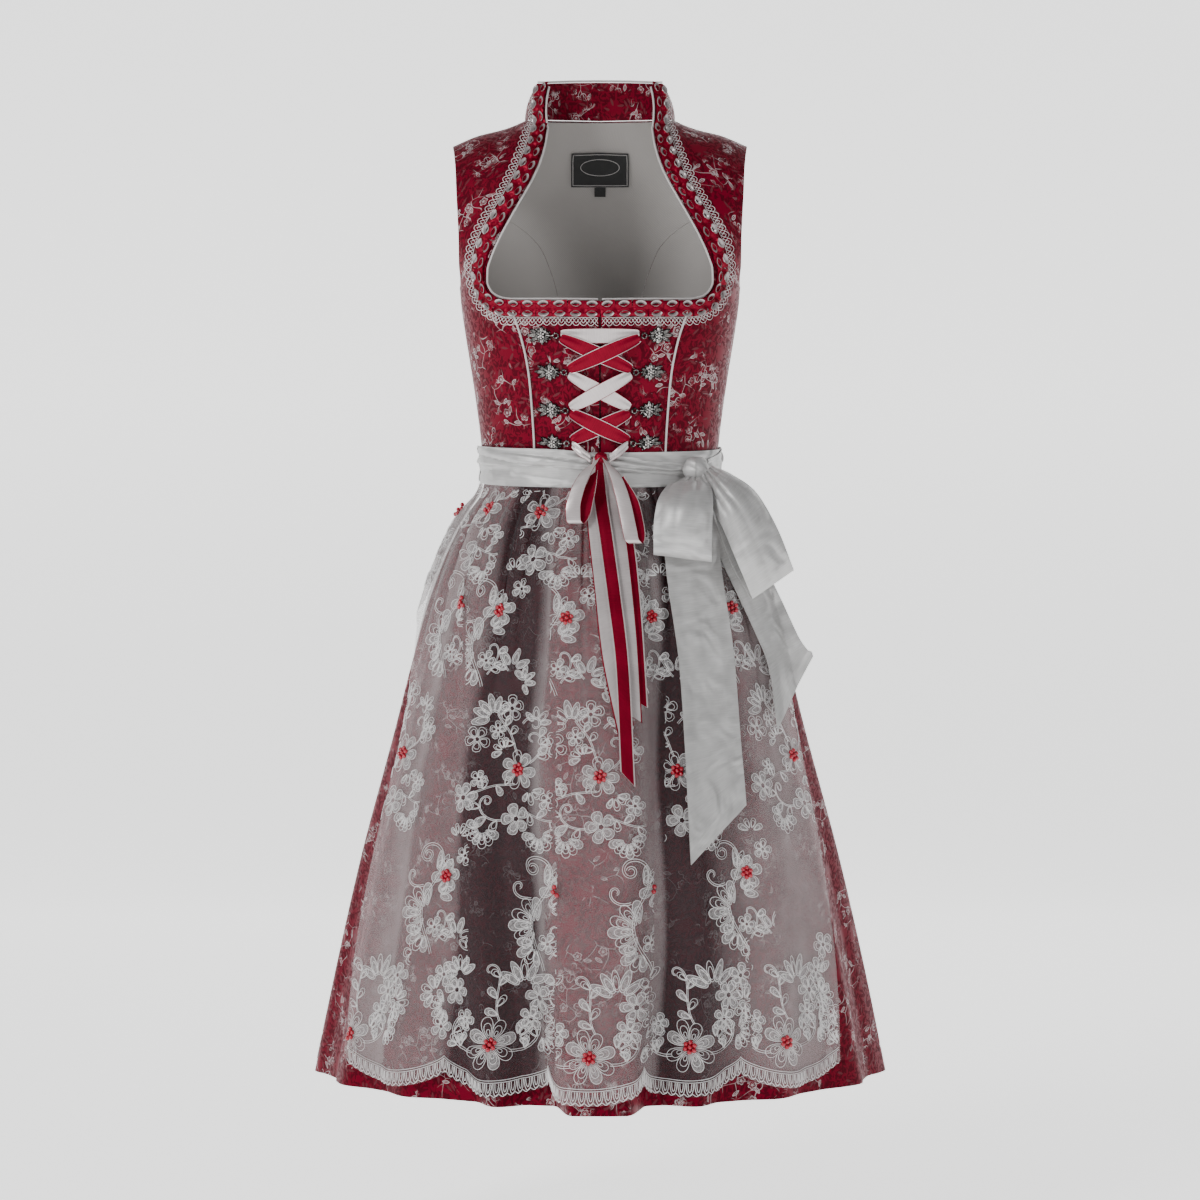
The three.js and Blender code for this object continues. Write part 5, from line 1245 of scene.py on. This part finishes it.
for flat in frames:
    point, normal = back_cell(flat[:, 0], flat[:, 1] - 27.75)
    paths.append(point - normal * 5.95)
piece("label_lines", sewn("label_lines", paths, 0.4, 6, silver_thread))


# The zip behind the front's slit: dark tape with small teeth of dark metal.
tape = threaded("zip tape", {"Scale": 300.0, "Distortion": 0.5}, 0.4, 0.0003, "DIAGONAL",
                Base_Color=linear("#2a0a10"), Roughness=0.7, Sheen_Weight=0.1)
x, z = np.linspace(-7, 7, 9), np.linspace(-347, -196, 61)[:, None]
piece("front_zip", wall("front_zip", front_cell(x, z), 1.0, [tape], out=-2.8), ["front_zip"])
tooth_metal, _, _ = finish("dark zip teeth", Base_Color=linear("#3a3534"), Metallic=1.0, Roughness=0.35)
side = np.linspace(0, 2 * math.pi, 7)
tooth = grid_shape("tooth", np.stack([vec(1.5 * r * np.cos(side), 0.55 * r * np.sin(side), h + 0 * side)
                                      for r, h in ((1, 0), (1, 0.5), (0.7, 0.8), (0.02, 0.85))]))
heights = np.arange(-345, -197, 1.5)
along = 0.55 * np.where(np.arange(len(heights)) % 2, 1, -1)
point, normal = front_cell(along, heights)
teeth = row_of("zip_teeth", tooth, point - normal * 2.8, (1.0, 0.0, 0.0), normal, tooth_metal)
piece("zip_teeth", teeth)


# The embroidery: cord of matt rayon sewn on the tulle by machine, in three repeating figures: blossoms with
# stems, plumes with curls, and the border with large flowers. Loops lie in each other, and some are filled.
thread = threaded("rayon embroidery cord", {"Scale": 1300.0, "Detail": 1.0}, 0.5, 0.0003,
                  Base_Color=linear("#efeded"), Roughness=0.5, Sheen_Weight=0.2)

# filling stitches of the same rayon, laid side by side along each petal, with tulle between them
stitching, tree, shader = finish("rayon filling stitch", Roughness=0.5, Sheen_Weight=0.25)
place = add(tree, "ShaderNodeTexCoord").outputs["UV"]
rows_of = add(tree, "ShaderNodeTexWave", {"Vector": place, "Scale": 330.0, "Distortion": 1.6, "Detail": 1.0})
loose = add(tree, "ShaderNodeTexNoise", {"Vector": place, "Scale": 400.0, "Detail": 1.0})
dense = add(tree, "ShaderNodeMath", {0: rows_of.outputs[1], 1: loose.outputs[0]}, operation="MULTIPLY")
seen = add(tree, "ShaderNodeMapRange", {"Value": dense.outputs[0], "From Min": 0.12, "From Max": 0.4,
                                        "To Min": 0.12, "To Max": 0.75})
tree.links.new(seen.outputs[0], shader.inputs["Alpha"])
tinted(tree, shader, dense.outputs[0], "#aeabab", "#e4e2e2")


def scroll(start, heading, bends, long, gap=0.0):
    """A curling line: its heading turns by so many degrees a millimetre, by share of its length"""
    count = max(int(long / 2), 6)
    t = np.linspace(0, 1, count + 1)
    turn = math.radians(heading) + np.cumsum(np.radians(curve(bends, t)[:, 0])) * long / count
    way = np.stack([np.cos(turn), np.sin(turn)], -1)
    line = np.asarray(start, float) + np.concatenate([[(0, 0)], np.cumsum(way[:-1], axis=0) * long / count])
    aside = np.stack([-way[:, 1], way[:, 0]], -1)
    return [line] if gap == 0 else [line + aside * gap / 2, line - aside * gap / 2]


def loop(base, heading, long, wide, rings=2, round_tip=0.5):
    """Rings of one petal, each inside the one before; round_tip under 0.8 widens the petal's far end"""
    drawn = []
    c, s = polar(heading)
    for ring in range(rings):
        size = 1 - 0.36 * ring
        t = np.linspace(0, 2 * math.pi, max(int(long * size), 9) + 1)
        far = (1 - np.cos(t)) / 2
        along = long * (0.1 * ring + size * far)
        full = far if round_tip < 0.8 else 1 - far
        aside = wide / 2 * size * np.sin(t) * (round_tip + (1 - round_tip) * 1.6 * full)
        drawn.append(np.asarray(base, float) + np.stack([along * c - aside * s, along * s + aside * c], -1))
    return drawn


class Figure:
    """One embroidered figure: cords and filled loops, in millimetres from its red beads"""

    def __init__(self, seed, stitches):
        self.cords, self.filled, self.beads = [], [], []
        self.luck = np.random.default_rng(seed)
        for kind, *values in stitches:
            {"bloom": self.bloom, "fan": self.fan, "stem": self.stem}[kind](*values)

    def petal(self, rings, heading, filled):
        self.cords += rings
        if filled:
            self.filled.append((rings[0], heading))

    def fan(self, base, heading, spread, count, long, wide, fill=0, rings=2, tip=0.5):
        for k in range(count):
            turn = heading + spread * (k / max(count - 1, 1) - 0.5) + self.luck.uniform(-4, 4)
            size = self.luck.uniform(0.86, 1.1)
            at = base + polar(turn, 0.24 * long)
            self.petal(loop(at, turn, long * size * 0.78, wide * size * 0.9, rings, tip), turn, k % 3 < fill)

    def bloom(self, centre, radius, petals, fill=0, turn=0, rings=2, beads=0):
        for k in range(petals):
            heading = turn + 360 / petals * k + self.luck.uniform(-5, 5)
            at = centre + polar(heading, radius * 0.16)
            drawn = loop(at, heading, radius * self.luck.uniform(0.8, 0.92), radius * 3.7 / petals, rings)
            self.petal(drawn, heading, k % 3 < fill)
        ring = np.linspace(0, 2 * math.pi, 11)
        self.cords.append(np.asarray(centre) + radius * 0.2 * np.stack([np.cos(ring), np.sin(ring)], -1))
        if beads:
            self.beads += [np.asarray(centre)] + [centre + polar(60 * k + 20, 4.7) for k in range(beads - 1)]

    def stem(self, start, heading, bends, long, gap=1.3, loops=()):
        self.cords += scroll(start, heading, bends, long, gap)
        middle = scroll(start, heading, bends, long)[0]
        for share, aside, size, wide, fill in loops:
            i = min(int(share * (len(middle) - 1)), len(middle) - 2)
            way = middle[i + 1] - middle[i]
            turn = math.degrees(math.atan2(way[1], way[0])) + aside
            self.petal(loop(middle[i], turn, size, wide, 2), turn, fill)


# the stitches of each figure, in the order in which they are sewn:
# bloom: middle, radius, petals, how many of three are filled, degrees turned, rings, beads
# fan: foot, heading, spread, loops, their length and width, how many of three are filled, rings, tip
# stem: start, heading, bends, length, gap between its two cords, loops as (share, aside, long, wide, filled)
blossoms = Figure(3, [
    ("bloom", (0, 0), 19, 7, 2, 0, 2, 7), ("bloom", (-9, 60), 13, 5, 0, 18), ("bloom", (-46, 29), 13, 5, 0, 50),
    ("bloom", (-24, 38), 9, 5, 1, 20), ("bloom", (-57, -28), 15, 6, 3, 10), ("bloom", (-42, -10), 9, 5, 2),
    ("bloom", (1, -48), 15, 5, 3, 36), ("bloom", (31, 25), 12, 5, 1, 5), ("bloom", (34, -28), 10, 5, 2, 5),
    ("fan", (-28, 50), 118, 150, 6, 24, 9, 3, 2, 0.85), ("fan", (-34, -58), 245, 170, 7, 18, 9, 1, 3),
    ("fan", (27, -60), 280, 170, 7, 18, 9, 1, 3), ("fan", (18, 46), 70, 130, 4, 16, 7, 1, 2, 0.85),
    ("fan", (-16, 18), 140, 120, 4, 14, 6.5, 1), ("fan", (14, -18), 300, 110, 4, 14, 6.5, 1),
    ("stem", (-50, -24), 10, [(0, 1.5), (0.5, -1), (1, 1)], 48, 1.3, [(0.3, 60, 11, 7, 0), (0.6, -60, 12, 7, 1),
     (0.8, 60, 9, 6, 0)]),
    ("stem", (-2, 14), 120, [(0, -2), (0.5, 1.5), (1, -2)], 46, 1.3, [(0.3, 70, 11, 7, 0), (0.5, -70, 10, 7, 0),
     (0.7, -70, 11, 7, 1)]),
    ("stem", (-14, -50), 185, [(0, -1), (0.5, -5), (1, -24)], 62, 1.3, [(0.1, 70, 12, 8, 0), (0.3, 70, 14, 9, 1),
     (0.5, 70, 12, 8, 0)]),
    ("stem", (12, 8), 30, [(0, 2), (0.4, 3), (1, 18)], 50, 1.3, [(0.2, -60, 12, 7, 0), (0.45, -70, 12, 7, 0),
     (0.6, -70, 10, 7, 1)]),
    ("stem", (10, -40), -10, [(0, -1.5), (1, 3)], 36, 1.3, [(0.2, -60, 11, 7, 0), (0.4, 60, 12, 7, 1),
     (0.8, -50, 11, 7, 0)]),
    ("stem", (4, 46), 60, [(0, -3), (0.5, -8), (1, -22)], 34, 1.6),
])
plume = Figure(7, [
    ("bloom", (0, 0), 17, 6, 3, 12, 2, 7),
    ("stem", (-8, -76), 105, [(0, 1.4), (0.3, -1.8), (0.55, 2.2), (0.75, 5), (1, 16)], 168, 2.2),
    ("fan", (-18, -36), 168, 140, 6, 29, 11.5, 1, 3), ("fan", (-17, -54), 225, 90, 4, 22, 10, 2),
    ("fan", (-11, 2), 50, 70, 4, 24, 8, 2, 2, 0.85), ("fan", (-9, -18), 20, 60, 3, 18, 8, 2, 2, 0.85),
    ("bloom", (-7, -50), 10, 5, 2),
    ("stem", (-4, -64), 60, [(0, -1), (0.6, 5), (1, 20)], 44, 1.3, [(0.15, -60, 11, 7, 0), (0.3, -60, 11, 7, 0),
     (0.55, -70, 11, 7, 1)]),
    ("stem", (-26, -10), 200, [(0, -2), (0.5, -6), (1, -24)], 40, 1.8),
    ("fan", (22, -58), 70, 200, 5, 21, 8.5, 3, 2, 0.85), ("fan", (36, -70), 10, 130, 4, 16, 7, 3, 2, 0.85),
    ("stem", (6, -40), -60, [(0, 0), (1, 1)], 24), ("bloom", (22, 22), 10, 5, 1),
    ("fan", (12, 40), 90, 140, 4, 14, 6.5, 1),
])
border_figure = Figure(11, [
    ("bloom", (0, 0), 25, 8, 1, 20, 3, 7),
    ("stem", (6, 22), 125, [(0, -2.2), (0.5, 0.5), (0.75, 6), (1, 22)], 70, 1.3, [(0.1, 50, 14, 7, 1),
     (0.22, -45, 13, 7, 0), (0.32, 45, 14, 7, 1), (0.5, -40, 13, 7, 1), (0.6, 45, 11, 6, 0)]),
    ("fan", (28, 54), 95, 120, 5, 29, 9.5, 2, 2, 0.85), ("bloom", (45, 46), 15, 6, 3),
    ("bloom", (38, 24), 13, 6, 3, 25), ("bloom", (60, 64), 13, 5, 3, 10), ("bloom", (75, 88), 13, 5, 2, 40),
    ("bloom", (62, 30), 11, 5, 2, 40), ("fan", (62, 38), 20, 180, 6, 19, 8, 2),
    ("fan", (52, 12), 340, 140, 6, 18, 8, 1, 3), ("bloom", (-30, 22), 11, 5, 2), ("bloom", (-45, 48), 14, 6, 3),
    ("bloom", (-62, 62), 12, 5, 3), ("bloom", (-58, 12), 12, 5, 2), ("fan", (-56, 32), 200, 150, 6, 19, 8, 1, 3),
    ("fan", (-42, 64), 110, 150, 6, 19, 8, 2, 2, 0.85), ("fan", (-70, 44), 160, 150, 5, 17, 8, 2),
    ("stem", (-18, -8), 190, [(0, -2), (0.5, -4), (1, -17)], 80, 2, [(0.2, -60, 12, 7, 1), (0.4, -60, 12, 7, 0)]),
    ("stem", (20, -6), -8, [(0, 1.6), (0.5, 4), (1, 17)], 84, 2, [(0.2, 60, 12, 7, 1), (0.4, 60, 12, 7, 0)]),
    ("fan", (-34, -4), 120, 110, 4, 14, 7, 1), ("fan", (26, 6), 30, 110, 4, 14, 7, 1),
])

# lengths round the apron at each height, so that a figure keeps its real size; steep sides of folds count little
level_z = np.linspace(-985, -385, 121)
level_angle = np.radians(np.linspace(-97, 97, 777))
level_points = apron_cell(level_angle, level_z[:, None])[0]
level_size = curve(skirt_form, level_z[:, None] + 0 * level_angle)
smooth_form = vec(*outline(level_angle, level_size * 1.06, level_size[..., 3]), 0)
across = np.diff(level_points[..., 0], axis=1, prepend=level_points[:, :1, 0])
back = np.diff(smooth_form[..., 1], axis=1, prepend=smooth_form[:, :1, 1])
level_run = np.hypot(across, back).cumsum(1)


def laid_on(points, at, lift):
    """Places on the apron of points in millimetres from a spot of it, and which of them the cloth reaches"""
    (x, z), (left, right) = at[:2], at[2:]
    row = int(np.argmin(np.abs(level_z - z)))
    front = np.abs(level_points[row, :, 0] - x) + 1000 * (np.abs(level_angle) > 1.62)
    start = level_angle[np.argmin(front)]
    heights = z + points[:, 1]
    rows = np.clip(np.rint((heights - level_z[0]) / 5).astype(int), 0, 120)
    angle = np.empty(len(points))
    for one in np.unique(rows):
        own = rows == one
        from_here = np.interp(start, level_angle, level_run[one]) + points[own, 0]
        angle[own] = np.interp(from_here, level_run[one], level_angle)
    edge = np.radians(curve(apron_edge, heights))
    near = (angle + edge[:, 0]) / (edge[:, 0] + edge[:, 1])
    placed, _ = apron_cell(angle, heights, lift)
    kept = (near > 0.004) & (near < 0.996) & (heights > hem_of(np.clip(near, 0, 1)) + 10)
    kept &= (heights < band_middle(angle) - 24) & (placed[:, 0] > left) & (placed[:, 0] < right)
    return placed, kept


# where each figure's red beads lie, and the left and right ends of what it may fill
places = {
    "hem": (border_figure, [
        (-251, -932, -268, -187), (-106.5, -926, -187, -43), (-10.1, -931, -43, 48), (86.8, -928, 48, 148),
        (183, -930, 148, 243), (261, -934, 219, 276),
    ]),
    "low": (plume, [
        (-152, -769, -248, -129), (-40.5, -776, -129, -41), (55, -778, -38, 53), (145, -765, 55, 174),
        (244, -777, 175, 258),
    ]),
    "middle": (blossoms, [
        (-199, -651, -249, -148), (-80.5, -663, -145, -46), (0.5, -668, -44, 60), (76.5, -664, 63, 134),
        (196, -653, 134, 258),
    ]),
    "high": (plume, [
        (-140, -498, -208, -138), (-100, -506, -136, -54), (-33, -514, -50, 11), (51, -512, 11, 90),
        (133, -503, 90, 207),
    ]),
    "top": (blossoms, [
        (-157, -403, -208, -144), (-111, -402, -144, -82), (-58, -407, -82, -11), (18, -405, -11, 50),
        (101, -404, 50, 145),
    ]),
}
embroidery, bead_spots = [], []
for name, (figure, spots) in places.items():
    paths, points, faces, uv = [], [], [], []
    for spot in spots:
        every, every_kept = laid_on(np.concatenate(figure.cords), spot, 0.75)
        first = 0
        for cord in figure.cords:
            placed, kept = every[first : first + len(cord)], every_kept[first : first + len(cord)]
            first += len(cord)
            for part in np.split(np.arange(len(cord)), np.flatnonzero(~kept)):
                part = part[kept[part]]
                if len(part) > 2:
                    paths.append(placed[part])
        patches = []
        for outline_of, _ in figure.filled:
            middle = outline_of[:-1].mean(0)
            patches.append(np.concatenate([outline_of[:-1], middle + (outline_of[:-1] - middle) * 0.5, [middle]]))
        every, every_kept = laid_on(np.concatenate(patches), spot, 0.5)
        start = 0
        for (outline_of, heading), rings in zip(figure.filled, patches):
            placed, kept = every[start : start + len(rings)], every_kept[start : start + len(rings)]
            start += len(rings)
            if not kept.all():
                continue
            middle = rings[-1]
            count, first = len(outline_of) - 1, sum(map(len, points))
            own, following = np.arange(count), (np.arange(count) + 1) % count
            faces += (np.stack([own, following, following + count, own + count], 1) + first).tolist()
            faces += (np.stack([own + count, following + count, np.full(count, 2 * count)], 1) + first).tolist()
            c, s = polar(heading)
            uv.append(np.stack([(rings - middle) @ (-s, c), (rings - middle) @ (c, s)], -1) + first)
            points.append(placed)
        if len(figure.beads):
            placed, kept = laid_on(np.array(figure.beads), spot, 2.4)
            bead_spots.append(placed[kept])
    embroidery.append(piece(f"embroidery_cords_{name}", sewn("cords", paths, 0.33, 3, thread)))
    filling = mesh_of("filling", np.concatenate(points), faces, [stitching], np.concatenate(uv), sharp=180)
    embroidery.append(piece(f"embroidery_filling_{name}", filling))

# the scalloped border: two cords that follow the large scallops, and small loops side by side out to the edge
share = np.linspace(0.004, 0.996, 1000)


def above_hem(share, high, lift):
    z = hem_of(share) + high
    return apron_cell(apron_angle(share, z), z, lift)


hem_points = above_hem(share, 0, 0)[0]
hem_run = np.linalg.norm(np.diff(hem_points, axis=0, prepend=hem_points[:1]), axis=1).cumsum()
loop_pitch = 8.4
paths = [above_hem(share, high, 0.75)[0] for high in (15.5, 13.4)]
paths.append(above_hem(share, 1.6 + 1.2 * np.cos(2 * math.pi * hem_run / loop_pitch), 0.75)[0])
for start in np.arange(2, hem_run[-1] - 8, loop_pitch):
    for wide, high in ((3.7, 11.4), (1.8, 8.2)):
        t = np.linspace(-math.pi, 0, 12)
        at = np.interp(start + loop_pitch / 2 + wide * np.cos(t), hem_run, share)
        paths.append(above_hem(at, 12.6 + high * np.sin(t), 0.75)[0])
embroidery.append(piece("embroidery_border", sewn("cords", paths, 0.38, 3, thread)))

# small round beads of red glass, seven to a flower
bead_glass, _, _ = finish("red glass bead", Base_Color=linear("#a80f28"), Roughness=0.18, Coat_Weight=0.6, IOR=1.5)
turn = np.linspace(0, 2 * math.pi, 11)
rise = np.linspace(0, math.pi, 7)[:, None]
bead = grid_shape("bead", vec(2.5 * np.sin(rise) * np.cos(turn), 2.5 * np.sin(rise) * np.sin(turn), 2.2 * np.cos(rise)))
spots = np.concatenate(bead_spots)
outward = unit(spots * (1, 1, 0))
beads = row_of("beads", bead, spots, unit(np.cross((0, 0, 1.0), outward)), outward, bead_glass)
embroidery.append(piece("embroidery_beads", beads))
